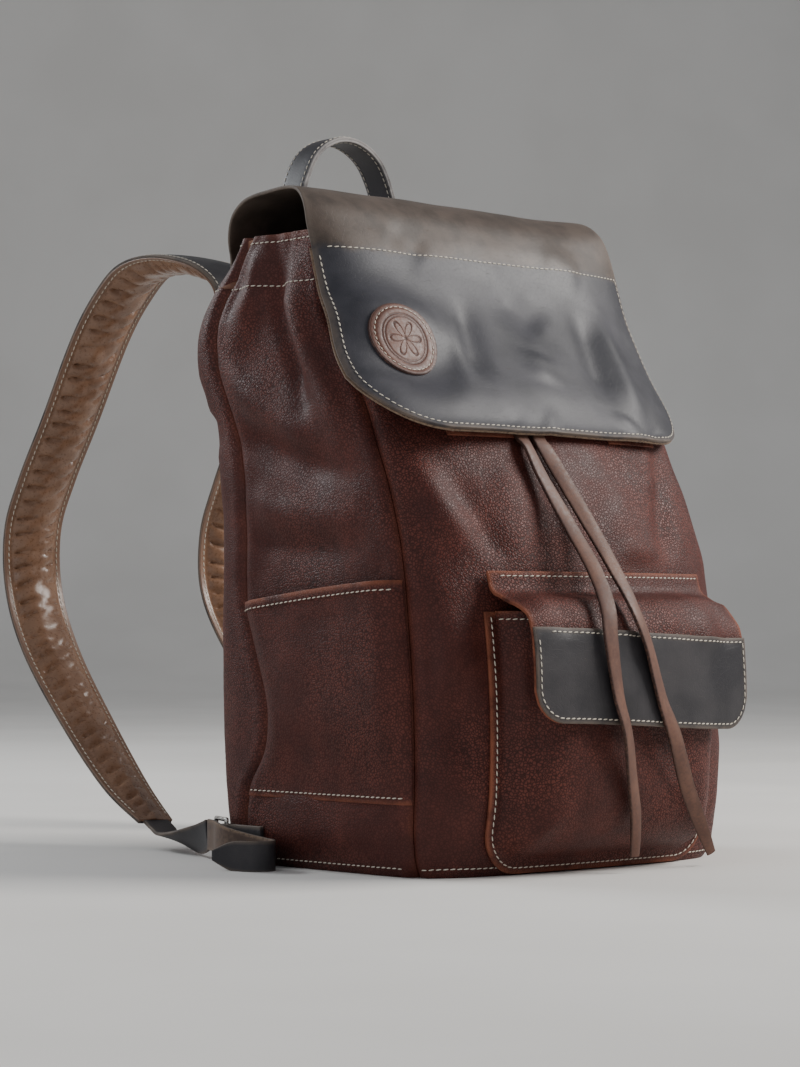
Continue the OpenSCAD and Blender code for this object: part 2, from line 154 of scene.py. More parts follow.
# %% Grids, thickness and riding
def to_object(name, bm):
    mesh = bpy.data.meshes.new(name)
    bm.to_mesh(mesh)
    bm.free()
    mesh.shade_smooth()
    piece = bpy.data.objects.new(name, mesh)
    bpy.context.scene.collection.objects.link(piece)
    return piece


def patch(name, columns, rows, place, size=(1, 1), wear=None, turned=False, edit=None):
    """A grid whose point at the shares u and v goes to place(u, v), in millimetres."""
    bm = bmesh.new()
    bmesh.ops.create_grid(bm, x_segments=columns, y_segments=rows, size=0.5)
    uv, worn = bm.loops.layers.uv.new("UVMap"), bm.verts.layers.float.new("wear")
    for face in bm.faces:
        for loop in face.loops:
            loop[uv].uv = ((loop.vert.co.x + 0.5) * size[0] * MM, (loop.vert.co.y + 0.5) * size[1] * MM)
    for vertex in bm.verts:
        u, v = vertex.co.x + 0.5, vertex.co.y + 0.5
        u = 1 - u if turned else u
        vertex.co = Vector(place(u, v)) * MM
        vertex[worn] = wear(u, v) if wear else 0.0
    if edit:
        edit(bm)
    return to_object(name, bm)


def thicken(piece, thickness, edge=0.45, flesh=None):
    """Leather thickness inwards from the grid, rounded cut edges, and the result made plain mesh."""
    solid = piece.modifiers.new("thickness", "SOLIDIFY")
    solid.thickness, solid.offset = thickness * MM, -1
    if flesh:
        piece.data.materials.append(flesh)
        piece.data.materials.append(flesh)
        solid.material_offset = solid.material_offset_rim = 1
    if edge:
        rounding = piece.modifiers.new("edge", "BEVEL")
        rounding.width, rounding.segments = edge * MM, 2
        rounding.limit_method, rounding.angle_limit = "ANGLE", math.radians(50)
    graph = bpy.context.evaluated_depsgraph_get()
    mesh = bpy.data.meshes.new_from_object(
        piece.evaluated_get(graph), preserve_all_data_layers=True, depsgraph=graph)
    piece.modifiers.clear()
    piece.data = mesh
    mesh.shade_smooth()
    return piece


def dress(piece, finish, slot, body, *nodes, bend=None):
    """The finish and the body of a piece, and the solids that it stands for. The slot is not used, and a piece
    with a bend is not put on its body.
    """
    finishes = piece.data.materials
    if finishes:
        finishes[0] = finish
    else:
        finishes.append(finish)
    if bend:
        start, end = bend[1:]
        [c * MM for c in start]
        [c * MM for c in end]
        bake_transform(piece)
    else:
        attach(piece, body)
    if nodes:
        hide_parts(*nodes)
    return piece


# %% [markdown]
# ## Finishes as expressions
# A leather finish is a sum of simple patterns: a pebble grain, slow changes of colour, worn edges.
# Written as Python sums and products they stay readable, so one small class wraps a socket and adds
# the Math nodes. Colours are mixed by a Mix node, because Math would turn them grey.

# %% Sockets that can be added and multiplied
class Field:
    """A socket of one material, with the operators that the finishes use."""

    def __init__(self, tree, socket):
        self.tree, self.socket = tree, socket

    def node(self, kind, settings=None, inputs=None, output=0):
        made = self.tree.nodes.new(kind)
        for name, value in (settings or {}).items():
            setattr(made, name, value)
        for name, value in (inputs or {}).items():
            if isinstance(value, Field):
                self.tree.links.new(value.socket, made.inputs[name])
            else:
                made.inputs[name].default_value = value
        return Field(self.tree, made.outputs[output])

    def sum(self, operation, *values):
        return self.node("ShaderNodeMath", {"operation": operation}, dict(enumerate(values)))

    def __add__(self, other):
        return self.sum("ADD", self, other)

    def __sub__(self, other):
        return self.sum("SUBTRACT", self, other)

    def __rsub__(self, other):
        return self.sum("SUBTRACT", other, self)

    def __mul__(self, other):
        return self.sum("MULTIPLY", self, other)

    __radd__, __rmul__ = __add__, __mul__

    def band(self, low, high):
        """0 below low, 1 above high, and smooth between them; low above high turns it round."""
        flipped = low > high
        ends = {"From Min": min(low, high), "From Max": max(low, high),
                "To Min": float(flipped), "To Max": float(not flipped)}
        return self.node("ShaderNodeMapRange", {"interpolation_type": "SMOOTHSTEP"}, {"Value": self, **ends})

    def tint(self, base, layer):
        """base where this field is 0, and layer where it is 1."""
        return self.node("ShaderNodeMix", {"data_type": "RGBA"}, {0: self, 6: base, 7: layer}, output=2)


def finish_start(name):
    """A new material, with the point on the piece and the wear value as fields."""
    made = bpy.data.materials.new(name)
    made.use_nodes = True
    made.node_tree.nodes.clear()
    start = Field(made.node_tree, None)
    point = start.node("ShaderNodeTexCoord", output=3)
    wear = start.node("ShaderNodeAttribute", {"attribute_name": "wear"}, output=2)
    return made, point, wear


def finish_end(made, point, steady, varying, relief=None, strength=0.5, distance=0.001):
    """The shader: steady values are set on its own sockets, and varying ones are linked."""
    if relief:
        varying["Normal"] = point.node("ShaderNodeBump", None, {
            "Height": relief, "Strength": strength, "Distance": distance})
    shader = point.node("ShaderNodeBsdfPrincipled", None, {**steady, **varying})
    result = made.node_tree.nodes.new("ShaderNodeOutputMaterial")
    made.node_tree.links.new(shader.socket, result.inputs["Surface"])
    return made


def rgba(tone):
    return (*tone, 1)


def spots(point, scale, detail=2.0, rough=0.5):
    return point.node("ShaderNodeTexNoise", None,
                      {"Vector": point, "Scale": scale, "Detail": detail, "Roughness": rough})


def cells(point, scale, feature="F1"):
    return point.node("ShaderNodeTexVoronoi", {"feature": feature}, {"Vector": point, "Scale": scale})


# %% [markdown]
# ## The body leather
# The body is milled, full-grain oxblood leather: the tumbling has raised a soft pebble of about two
# millimetres, and painted shade makes the hollows darker. The pebble is the distance to the edge of
# Voronoi cells, bent a little by noise so that no cell is a clean polygon. Cut edges and hems have
# lost some dye, which the wear value brings out.

# %% Body leather
def pebbled(name, deep, mid, worn, grain=470, gloss=0.44, strength=0.5):
    made, point, wear = finish_start(name)
    bent = point.node("ShaderNodeVectorMath", {"operation": "MULTIPLY_ADD"}, {
        0: point.node("ShaderNodeTexNoise", None, {"Vector": point, "Scale": 220.0, "Detail": 1.0}, output=1),
        1: (0.0022,) * 3, 2: point})
    pebble = cells(bent, grain, "DISTANCE_TO_EDGE").band(0.0, 0.26)
    fine = cells(bent, grain * 2.3, "F1")
    slow, patchy, tiny = spots(point, 9, 3), spots(point, 38, 4, 0.6), spots(point, 900, 2)
    # The pebble is strong in some places and nearly pressed flat in others.
    raised = slow.band(0.3, 0.62) * 0.6 + 0.4
    relief = pebble * raised * 0.7 + fine * -0.15 + patchy * 0.5 + tiny * 0.04
    tone = (slow * 0.5 + patchy * 0.5).band(0.36, 0.64)
    colour = tone.tint(rgba(deep), rgba(mid))
    # Painted shade: the colour goes much darker in the hollows between the pebbles, most where the pebble is
    # raised.
    colour = ((1 - pebble) * (raised * 0.75 + 0.1)).tint(colour, rgba([c * 0.25 for c in deep]))
    colour = (wear * patchy.band(0.25, 0.6)).tint(colour, rgba(worn))
    roughness = gloss + (1 - pebble) * 0.12 + patchy.band(0.3, 0.7) * 0.1 + wear * 0.08
    return finish_end(made, point, {"Specular IOR Level": 0.3, "IOR": 1.45},
                      {"Base Color": colour, "Roughness": roughness}, relief, strength, 0.0007)


body_leather = pebbled("body_leather", (0.07, 0.0165, 0.0125), (0.14, 0.038, 0.028), (0.22, 0.07, 0.039))
pocket_leather = pebbled("pocket_leather", (0.072, 0.0175, 0.013), (0.143, 0.039, 0.0285), (0.25, 0.08, 0.043))

# %% [markdown]
# ## The flap leather
# The flaps, the handle and the strap covers are a smooth pull-up leather: it is filled with wax, so
# it has a broad, soft shine and goes paler where it is scratched or worn. A trace of a second coat
# carries the wax, while fine scratches and slow clouds live in colour and roughness. On the main flap the
# colour turns from dark navy to grey-brown above the upper stitch line.

# %% Flap leather
def waxed(name, deep, mid, pale, above=None, turn=(0.431, 0.439), gloss=0.46, coat=0.03):
    made, point, wear = finish_start(name)
    clouds, patchy = spots(point, 11, 4, 0.6), spots(point, 45, 4, 0.65)
    stretched = point.node("ShaderNodeMapping", None, {
        "Vector": point, "Scale": (30, 160, 160), "Rotation": (0.2, 0.5, 0.35)})
    scratch = stretched.node("ShaderNodeTexNoise", None, {"Vector": stretched, "Scale": 3.2, "Detail": 3.0})
    scratch = scratch.band(0.66, 0.76)
    crease = cells(point, 260, "DISTANCE_TO_EDGE").band(0.0, 0.06)
    pores = spots(point, 1300, 1)
    colour = (clouds * 0.6 + patchy * 0.4).band(0.38, 0.66).tint(rgba(deep), rgba(mid))
    if above:
        height = point.node("ShaderNodeSeparateXYZ", None, {"Vector": point}, output=2)
        rise = (height + (patchy - 0.5) * 0.012).band(*turn)
        colour = rise.tint(colour, patchy.band(0.35, 0.65).tint(rgba([c * 0.6 for c in above]), rgba(above)))
    colour = (scratch * 0.16).tint(colour, rgba(pale))
    colour = (wear * patchy.band(0.2, 0.6)).tint(colour, rgba(pale))
    relief = patchy * 0.5 + crease * 0.18 + pores * 0.07 + scratch * -0.15
    roughness = gloss + clouds.band(0.35, 0.7) * 0.12 + scratch * 0.15 + wear * 0.2
    return finish_end(made, point, {"Coat Roughness": 0.3, "Coat IOR": 1.45, "Specular IOR Level": 0.36},
                      {"Base Color": colour, "Roughness": roughness, "Coat Weight": coat + clouds * 0.1},
                      relief, 0.35, 0.0006)


flap_leather = waxed("flap_leather", (0.022, 0.022, 0.029), (0.045, 0.044, 0.054), (0.13, 0.1, 0.08),
                     above=(0.085, 0.062, 0.049))
dark_leather = waxed("dark_leather", (0.018, 0.0165, 0.02), (0.038, 0.034, 0.037), (0.13, 0.1, 0.08))
handle_leather = waxed("handle_leather", (0.016, 0.014, 0.019), (0.036, 0.031, 0.039), (0.3, 0.28, 0.27))

# %% [markdown]
# ## Lining, laces, suede and thread
# The strap lining is soft tan leather. The laces are cut from veg-tanned hide and keep dark, fuzzy
# cut edges. The facing under the flap shows the flesh side, which is matt. Waxed thread is cream.

# %% The smaller finishes
def plain_hide(name, deep, mid, worn, gloss=0.55, fuzz=0.3, sheen=0.0):
    made, point, wear = finish_start(name)
    patchy, fine, grain = spots(point, 30, 4, 0.6), spots(point, 420, 3, 0.6), spots(point, 1500, 2)
    colour = (patchy * 0.6 + fine * 0.4).band(0.38, 0.64).tint(rgba(deep), rgba(mid))
    colour = (wear * fine.band(0.25, 0.6)).tint(colour, rgba(worn))
    relief = fine * 0.5 + grain * 0.3 * fuzz + patchy * 0.5
    roughness = gloss + fine.band(0.3, 0.7) * 0.14 + wear * 0.1
    return finish_end(made, point, {"Sheen Weight": sheen, "Sheen Roughness": 0.4},
                      {"Base Color": colour, "Roughness": roughness}, relief, 0.4, 0.0005)


lining_leather = plain_hide("lining_leather", (0.19, 0.1, 0.058), (0.27, 0.15, 0.09), (0.17, 0.095, 0.062),
                            gloss=0.25, fuzz=0.15)
lace_leather = plain_hide("lace_leather", (0.1, 0.042, 0.028), (0.17, 0.078, 0.05), (0.035, 0.015, 0.011), 0.5)
suede = plain_hide("suede", (0.12, 0.045, 0.025), (0.2, 0.085, 0.045), (0.28, 0.13, 0.07), 0.8, 1.5, 0.15)
edge_suede = plain_hide("edge_suede", (0.06, 0.035, 0.025), (0.13, 0.085, 0.06), (0.22, 0.15, 0.1),
                        gloss=0.75, fuzz=1.2, sheen=0.1)
badge_leather = plain_hide("badge_leather", (0.085, 0.03, 0.018), (0.15, 0.055, 0.032), (0.035, 0.012, 0.009),
                           gloss=0.42, fuzz=0.6)


def waxed_thread():
    made, point, wear = finish_start("thread")
    fine = spots(point, 2500, 2)
    colour = fine.band(0.3, 0.7).tint(rgba((0.5, 0.44, 0.35)), rgba((0.78, 0.72, 0.62)))
    return finish_end(made, point, {}, {"Base Color": colour, "Roughness": 0.5 + fine * 0.2},
                      fine, 0.5, 0.0003)


def metal(name, tone, worn, gloss):
    made, point, wear = finish_start(name)
    rubbed, fine = spots(point, 90, 3, 0.6), spots(point, 700, 3, 0.7)
    colour = rubbed.band(0.4, 0.65).tint(rgba(tone), rgba(worn))
    return finish_end(made, point, {"Metallic": 1.0},
                      {"Base Color": colour, "Roughness": gloss + fine.band(0.4, 0.7) * 0.15},
                      fine, 0.15, 0.0003)


def pressed_board():
    made, point, wear = finish_start("board")
    fibre = spots(point, 500, 5, 0.7)
    colour = fibre.band(0.35, 0.65).tint(rgba((0.1, 0.065, 0.04)), rgba((0.22, 0.15, 0.09)))
    return finish_end(made, point, {}, {"Base Color": colour, "Roughness": 0.8 + fibre * 0.1},
                      fibre, 0.4, 0.0005)


thread = waxed_thread()
steel = metal("steel", (0.55, 0.54, 0.52), (0.75, 0.74, 0.72), 0.2)
brass = metal("brass", (0.4, 0.27, 0.12), (0.62, 0.45, 0.22), 0.3)
board = pressed_board()
for slot_name, finish, nodes in [
        ("steel", steel, ["snap_sockets", "flap_snaps", "pocket_snap_socket", "pocket_flap_snap",
                          "buckle_ring_left", "buckle_ring_right"]),
        ("brass", brass, ["eyelets"]),
        ("board", board, ["base_board"])]:
    for name in nodes:
        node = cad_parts[name]
        node.data.materials.clear()
        node.data.materials.append(finish)

# %% [markdown]
# ## The shape of the body
# The full bag is a rounded box: each height has its own half width, front line, back line and
# bulge. The upper half leans back. On top of that shape lie the folds of soft leather. A fold is a
# line in space with a height and a width, and it raises or lowers the leather around it. Slow noise
# keeps the rest from looking pressed.

# %% Body shape and folds
# Height, inset of the half width, front, back, bulge of the front, bulge of the back.
BODY = [
    (0, 10, -92, 130, 6, 2), (14, 4, -95, 136, 10, 3), (30, 1, -96, 137, 14, 4), (60, 0, -98, 139, 18, 5),
    (118, 0, -97, 143, 21, 6), (170, 0, -92, 143, 22, 6), (219, 1, -84, 142, 22, 6), (245, 2, -76, 143, 22, 6),
    (271, 3, -66, 146, 21, 6), (296, 4, -54, 153, 20, 6), (321, 5, -42, 161, 18, 6), (340, 6, -30, 166, 16, 5),
    (358, 7, -18, 170, 14, 4), (387, 9, 2, 168, 10, 4), (410, 12, 12, 156, 7, 3), (430, 14, 18, 142, 5, 2),
    (450, 16, 23, 126, 4, 1)]
HALF_BODY, PLAN_POWER, LEATHER, MOUTH_Z, CASING_LOW = 156, 7, 2.2, 450, 414
BACK_SEAM, FRONT_SEAM = 30, 40
shape_at = {}


def shape(z):
    key = round(z, 2)
    if key not in shape_at:
        shape_at[key] = [curve(BODY, key, column) for column in range(1, 6)]
    return shape_at[key]


def body_point(angle, z):
    inset, front, back, front_bulge, back_bulge = shape(z)
    half = HALF_BODY - inset
    c, s = math.cos(math.radians(angle)), math.sin(math.radians(angle))
    d = (abs(c)**PLAN_POWER + abs(s)**PLAN_POWER)**(1 / PLAN_POWER)
    x = half * c / d
    bulge = -front_bulge if s < 0 else back_bulge
    return Vector((x, (front + back) / 2 + (back - front) / 2 * s / d + bulge * (1 - (x / half)**2), z))


def body_frame(angle, z):
    """The point of the plain body, and the direction straight out of it."""
    across = body_point(angle + 0.4, z) - body_point(angle - 0.4, z)
    up = body_point(angle, z + 1) - body_point(angle, z - 1)
    return body_point(angle, z), across.cross(up).normalized()


def front_y(x, z):
    inset, front, back, bulge, _ = shape(z)
    share = clamp(abs(x) / (HALF_BODY - inset))
    return ((front + back) / 2 - (back - front) / 2 * (1 - share**PLAN_POWER)**(1 / PLAN_POWER)
            - bulge * (1 - share * share))


def fold(height, width, *points):
    return height, width, [Vector(p) for p in points]


def fold_height(p, folds):
    total = 0.0
    for height, width, points in folds:
        near, place = 1e9, 0.0
        for k, (a, b) in enumerate(zip(points, points[1:])):
            spot, share = intersect_point_line(p, a, b)
            share = clamp(share)
            gap = (p - a.lerp(b, share)).length
            if gap < near:
                near, place = gap, (k + share) / (len(points) - 1)
        if near < 2.6 * width:
            # A fold is highest in its middle and runs out towards its ends.
            total += height * hill(near, width) * (0.25 + 0.75 * ease(3 * min(place, 1 - place)))
    return total


SIDE_FOLDS = [
    fold(-9, 8, (-146, 78, 452), (-148, 68, 396), (-150, 45, 354), (-151, 32, 326)),
    fold(7, 15, (-146, 52, 420), (-148, 48, 399), (-151, 32, 364), (-153, 1, 319), (-154, -48, 284)),
    fold(-5, 9, (-149, 14, 372), (-152, -14, 330), (-153, -44, 300)),
    fold(8, 15, (-146, 150, 360), (-151, 122, 352), (-153, 80, 330), (-154, 40, 308), (-154, 5, 297)),
    fold(-6, 11, (-152, 118, 312), (-154, 80, 300), (-154, 27, 284), (-154, -25, 275)),
    fold(4, 12, (-154, 110, 270), (-155, 60, 252), (-155, 10, 246), (-155, -40, 240)),
    fold(-4, 10, (-154, 96, 232), (-155, 40, 226), (-155, -20, 224)),
    fold(5, 9, (-144, 98, 446), (-147, 96, 410), (-149, 100, 380)),
    fold(-5, 8, (-141, 118, 440), (-146, 116, 410), (-148, 122, 385)),
    fold(-4, 8, (-147, 20, 446), (-148, 14, 410), (-148, 2, 384)),
    fold(3, 8, (-140, 30, 448), (-146, 28, 420)),
    fold(-3, 16, (-155, 125, 150), (-155, 118, 60)),
    fold(3, 22, (-155, 90, 30), (-155, 0, 26), (-155, -70, 34)),
    fold(9, 26, (-140, 118, 424), (-148, 132, 392), (-150, 146, 352)),
    fold(-6, 18, (-146, 152, 330), (-150, 150, 290))]
FRONT_FOLDS = [
    fold(6, 14, (-139, -52, 292), (-126, -78, 256), (-106, -99, 211)),
    fold(-4, 12, (-118, -66, 286), (-100, -92, 244), (-84, -106, 204)),
    fold(3.5, 20, (27, -81, 287), (34, -105, 228), (36, -112, 200)),
    fold(5, 11, (100, -62, 306), (88, -75, 286), (77, -87, 262)),
    fold(-6, 13, (112, -55, 300), (95, -74, 284), (80, -94, 244), (72, -104, 215)),
    fold(-8, 16, (140, -30, 304), (146, -50, 250), (150, -60, 205)),
    fold(-3.5, 14, (-30, -80, 292), (-40, -98, 250), (-56, -108, 210)),
    fold(2.5, 12, (-62, -77, 288), (-74, -92, 246)),
    fold(-3, 12, (130, -92, 170), (128, -96, 80)),
    fold(-3, 12, (-126, -98, 165), (-128, -100, 70)),
    fold(3, 12, (-132, -92, 190), (-130, -98, 120))]
BACK_FOLDS = [
    fold(-4, 26, (-100, 150, 300), (0, 160, 290), (100, 150, 300)),
    fold(3, 24, (-110, 145, 200), (0, 150, 220), (110, 145, 200)),
    fold(-3, 14, (-70, 140, 448), (-74, 158, 405)), fold(3, 13, (-30, 140, 448), (-28, 160, 405)),
    fold(-3, 12, (20, 140, 448), (24, 158, 400)), fold(3, 13, (75, 138, 448), (80, 158, 405)),
    fold(-3, 20, (60, 145, 150), (-40, 145, 90)), fold(4, 30, (0, 146, 60), (0, 148, 130))]


def mirrored(folds, share):
    return [(h * share, w, [Vector((-p.x, p.y, p.z)) for p in points]) for h, w, points in folds]


ALL_FOLDS = SIDE_FOLDS + FRONT_FOLDS + BACK_FOLDS + mirrored(SIDE_FOLDS, 0.85)


def relief(p):
    """How far the leather stands out of the plain body at p, in millimetres."""
    slow = noise.noise(p / 62) * 2.6 + noise.noise(p / 24 + Vector((7, 3, 1))) * 1.0
    high = fold_height(p, ALL_FOLDS) + slow
    gather = ease((p.z - 400) / 45) * (noise.noise(Vector((p.x, p.y, 40)) / 9) * 2.4)
    return high + gather


def kept_clear(p, high):
    """Nothing pushes out under the flap, the pockets and the sewn patches."""
    covered = 0.0
    if p.y < 60 and abs(p.x) < 140:
        covered = ease((p.z - 296) / 14)
        if abs(p.x) < 118:
            covered = max(covered, ease((225 - p.z) / 12) * ease((118 - abs(p.x)) / 6))
    if p.y > 120 and abs(p.x) < 132:
        covered = max(covered, ease((p.z - 325) / 12) * ease((405 - p.z) / 12))
    if abs(p.x) > 140 and 50 < p.z:
        covered = max(covered, ease((p.z - 50) / 10) * ease((212 - p.z) / 12))
    return high * (1 - covered) + min(high, 0) * 0.6 * covered


def hide_point(angle, z, out=0.0, seam=None):
    """A point of the body's leather; seam holds the two edges where the leather turns inwards."""
    if seam:
        angle = wander(angle, *seam, z)
    p, normal = body_frame(angle, z)
    high = kept_clear(p, relief(p)) * ease((z + 2) / 30)
    if seam:
        near = min((p - body_point(wander(edge, *seam, z), z)).length for edge in seam)
        high = high * (0.35 + 0.65 * ease(near / 30)) - 3.2 * hill(near, 3.4)
        high += 0.8 * hill(near - 7, 4) * (1 + noise.noise(Vector((p.z, near, 3)) / 7))
    high -= 2.2 * hill(z, 5)
    return p + normal * (clamp(high, -11, 9) + out)


# Height, and how many degrees the back seams stand off their straight line there.
SEAM_SHIFT = [(0, -2), (35, -2), (60, 0.5), (82, 7), (103, 9.5), (122, 9), (163, 3.5), (190, 0), (240, 0),
              (300, 2), (360, 0), (450, 0)]


def wander(angle, start, end, z):
    """The back seams run in a slow wave, so the panels beside them follow it."""
    shift = curve(SEAM_SHIFT, z, 1)
    share = (angle - start) / (end - start)
    at_start = {BACK_SEAM: -shift, 180 - BACK_SEAM: shift}.get(start, 0)
    at_end = {BACK_SEAM: -shift, 180 - BACK_SEAM: shift}.get(end, 0)
    return angle + at_start * (1 - share) + at_end * share


class Turn:
    """The plan angles between two seams, evenly spaced along the leather."""

    def __init__(self, start, end):
        self.start, self.end = start, end
        steps = 90
        self.angles = [start + (end - start) * k / steps for k in range(steps + 1)]
        line = [body_point(a, 200) for a in self.angles]
        self.reach = [0.0]
        for a, b in zip(line, line[1:]):
            self.reach.append(self.reach[-1] + (b - a).length)
        self.width = self.reach[-1]

    def at(self, share):
        s = share * self.width
        i = int(clamp(bisect_right(self.reach, s) - 1, 0, len(self.angles) - 2))
        t = (s - self.reach[i]) / (self.reach[i + 1] - self.reach[i])
        return self.angles[i] * (1 - t) + self.angles[i + 1] * t


# %% [markdown]
# ## The four body panels
# A front, a back and two sides are sewn together inside out and turned, so each seam is a groove
# between two rolled edges. The panels are separate grids that both dip towards their shared seam.
# The front has two eyelet holes: faces inside the ring are removed and the edge is drawn to it.

# %% Body panels
EYELET_X, EYELET_Z = 22, 432
eyelet_middles = [Vector((side * EYELET_X, front_y(EYELET_X, EYELET_Z), EYELET_Z)) * MM for side in (-1, 1)]


def open_eyelets(bm):
    hole = 6.1 * MM
    inside = [f for f in bm.faces
              if min((f.calc_center_median() - m).length for m in eyelet_middles) < hole]
    bmesh.ops.delete(bm, geom=inside, context="FACES")
    for vertex in bm.verts:
        middle = min(eyelet_middles, key=lambda m: (vertex.co - m).length)
        gap = vertex.co - middle
        if gap.length < hole and vertex.is_boundary:
            vertex.co = middle + gap.normalized() * hole


def body_panel(name, node, start, end, edit=None):
    turn = Turn(start, end)
    columns, rows = round(turn.width / 4.2), 106
    edge = lambda u, v: 0.3 * hill(min(u, 1 - u) * turn.width, 3) + 0.5 * ease((v - 0.985) / 0.015)
    piece = patch(name, columns, rows,
                  lambda u, v: hide_point(turn.at(u), 0.6 + (MOUTH_Z - 0.6) * v, seam=(start, end)),
                  (turn.width, MOUTH_Z), edge, edit=edit)
    thicken(piece, LEATHER)
    print(name, len(piece.data.polygons), "faces,", round(turn.width), "mm across")
    dress(piece, body_leather, "body_leather", "bag", node)


body_panel("body_front", "front_panel", 180 + FRONT_SEAM, 360 - FRONT_SEAM, open_eyelets)
body_panel("body_back", "back_panel", BACK_SEAM, 180 - BACK_SEAM)
body_panel("body_side_left", "side_panel_left", 180 - BACK_SEAM, 180 + FRONT_SEAM)
body_panel("body_side_right", "side_panel_right", -FRONT_SEAM, BACK_SEAM)

# %% [markdown]
# ## Stitches
# Saddle stitches are short, plump lengths of thread, all of one size and evenly spaced. Each one is
# a very low sphere drawn long, because there are well over a thousand of them. A run is a list of
# points on the leather with the direction straight out of it, and the stitches are set along it.

# %% Stitches
def stitch_mesh(length, radius):
    bm = bmesh.new()
    bmesh.ops.create_uvsphere(bm, u_segments=6, v_segments=4, radius=1.0)
    bmesh.ops.rotate(bm, verts=bm.verts, matrix=Matrix.Rotation(math.pi / 2, 3, "Y"))
    bmesh.ops.scale(bm, verts=bm.verts, vec=(length / 2 * MM, radius * MM, radius * 0.8 * MM))
    mesh = bpy.data.meshes.new("stitch")
    bm.to_mesh(mesh)
    bm.free()
    return mesh


def surface_run(surface, marks, lift=0.15, step=2.5):
    """Points and outward directions along a line of (a, b) marks on surface(a, b)."""
    run = []
    for (a0, b0), (a1, b1) in zip(marks, marks[1:]):
        steps = max(1, round((surface(a1, b1) - surface(a0, b0)).length / step))
        for k in range(steps):
            a, b = a0 + (a1 - a0) * k / steps, b0 + (b1 - b0) * k / steps
            across, down = surface(a + 0.5, b) - surface(a - 0.5, b), surface(a, b + 0.5) - surface(a, b - 0.5)
            normal = across.cross(down).normalized()
            run.append((surface(a, b) + normal * lift, normal))
    return run


def flipped(run, lift=0.15):
    """The same run for a surface whose outside is the other way."""
    return [(p - 2 * lift * n, -n) for p, n in run]


def sew(name, body, runs, pitch=4.9, length=3.9, radius=0.52, bend=None):
    one, bm, count = stitch_mesh(length, radius), bmesh.new(), 0
    for run in runs:
        line = Route([p for p, _ in run], fine=1)
        for k in range(int(line.length / pitch)):
            s = (k + 0.5) * pitch
            along = line.heading(s)
            normal = run[line.spot(s)[0]][1]
            side = normal.cross(along).normalized()
            # Saddle stitches lie a few degrees off the line.
            along = (along + side * 0.12).normalized()
            side = normal.cross(along).normalized()
            turn = Matrix((along, side, along.cross(side))).transposed().to_4x4()
            place = Matrix.Translation(line.at(s) * MM) @ turn
            copy = one.copy()
            copy.transform(place)
            bm.from_mesh(copy)
            bpy.data.meshes.remove(copy)
            count += 1
    dress(to_object(name, bm), thread, "body_leather", body, bend=bend)
    print(name, count, "stitches")


# %% [markdown]
# ## The base and the casing
# The base is a flat piece of leather set into the bottom seam, with a board over it. At the mouth a
# second ply is sewn inside along two lines, which makes the channel for the drawstring, and it
# follows the gathers of the body.

# %% Base, casing and its stitches
def base_leather():
    bm = bmesh.new()
    bmesh.ops.create_circle(bm, cap_ends=True, segments=120, radius=1)
    for vertex in bm.verts:
        angle = math.degrees(math.atan2(vertex.co.y, vertex.co.x))
        vertex.co = (body_frame(angle, 2)[0] - body_frame(angle, 2)[1] * 1.5) * MM
        vertex.co.z = 0
    bmesh.ops.inset_region(bm, faces=bm.faces[:], thickness=4 * MM)
    bmesh.ops.inset_region(bm, faces=[max(bm.faces, key=lambda f: f.calc_area())], thickness=10 * MM)
    bmesh.ops.reverse_faces(bm, faces=bm.faces[:])
    piece = thicken(to_object("base", bm), LEATHER, 0.3)
    return dress(piece, body_leather, "body_leather", "bag", "base_panel")


base_leather()


def casing_point(angle, z):
    return hide_point(angle, z, -LEATHER - 1.2 - 3.2 * math.sin(math.pi * clamp((z - CASING_LOW) / 34)))


casing = patch("casing_lining", 200, 9, lambda u, v: casing_point(-269.6 + 359.2 * u, CASING_LOW + 34.5 * v),
               (850, 36), lambda u, v: ease((v - 0.9) / 0.1), turned=True)
thicken(casing, 1.6, 0.3)
dress(casing, suede, "facing_leather", "bag", "casing_facing")
drawn = patch("lace_in_casing", 150, 3,
              lambda u, v: hide_point(-84 + 348 * u, 426 + 12 * v, -LEATHER - 0.9), (800, 12))
thicken(drawn, 1.2, 0.3)
dress(drawn, lace_leather, "lace_leather", "bag", "casing_lace")


PANEL_TURNS = [(BACK_SEAM, 180 - BACK_SEAM), (180 - BACK_SEAM, 180 + FRONT_SEAM),
               (180 + FRONT_SEAM, 360 - FRONT_SEAM), (360 - FRONT_SEAM, 360 + BACK_SEAM)]


def body_skin(angle, z):
    """The body's surface as a function of plan angle and height, with its seams."""
    angle = angle % 360
    angle = angle + 360 if angle < BACK_SEAM else angle
    turn = [pair for pair in PANEL_TURNS if pair[0] <= angle <= pair[1]][0]
    return hide_point(angle, z, 0, seam=turn)


# Two rings hold the casing, and the lowest one holds the base.
rings = [surface_run(body_skin, [(start + 1.5 + (end - start - 3) * k / 30, z) for k in range(31)])
         for z in (444.5, 413, 9) for start, end in PANEL_TURNS]
edges = [surface_run(body_skin, [(222.6, 440 - 6 * k) for k in range(8)]),
         surface_run(body_skin, [(317.4, 440 - 6 * k) for k in range(8)])]
sew("casing_stitches", "bag", rings + edges)

# %% [markdown]
# ## The main flap
# One piece of leather is sewn to the back, runs up over the mouth and falls down the front. Seen
# from the side it follows one line, and its side edges fall back a little behind its middle. The
# bag's contents and the folds of the body have printed shallow dents into the front of it. A facing
# with its flesh side out is sewn under the front part, and both cut edges show.

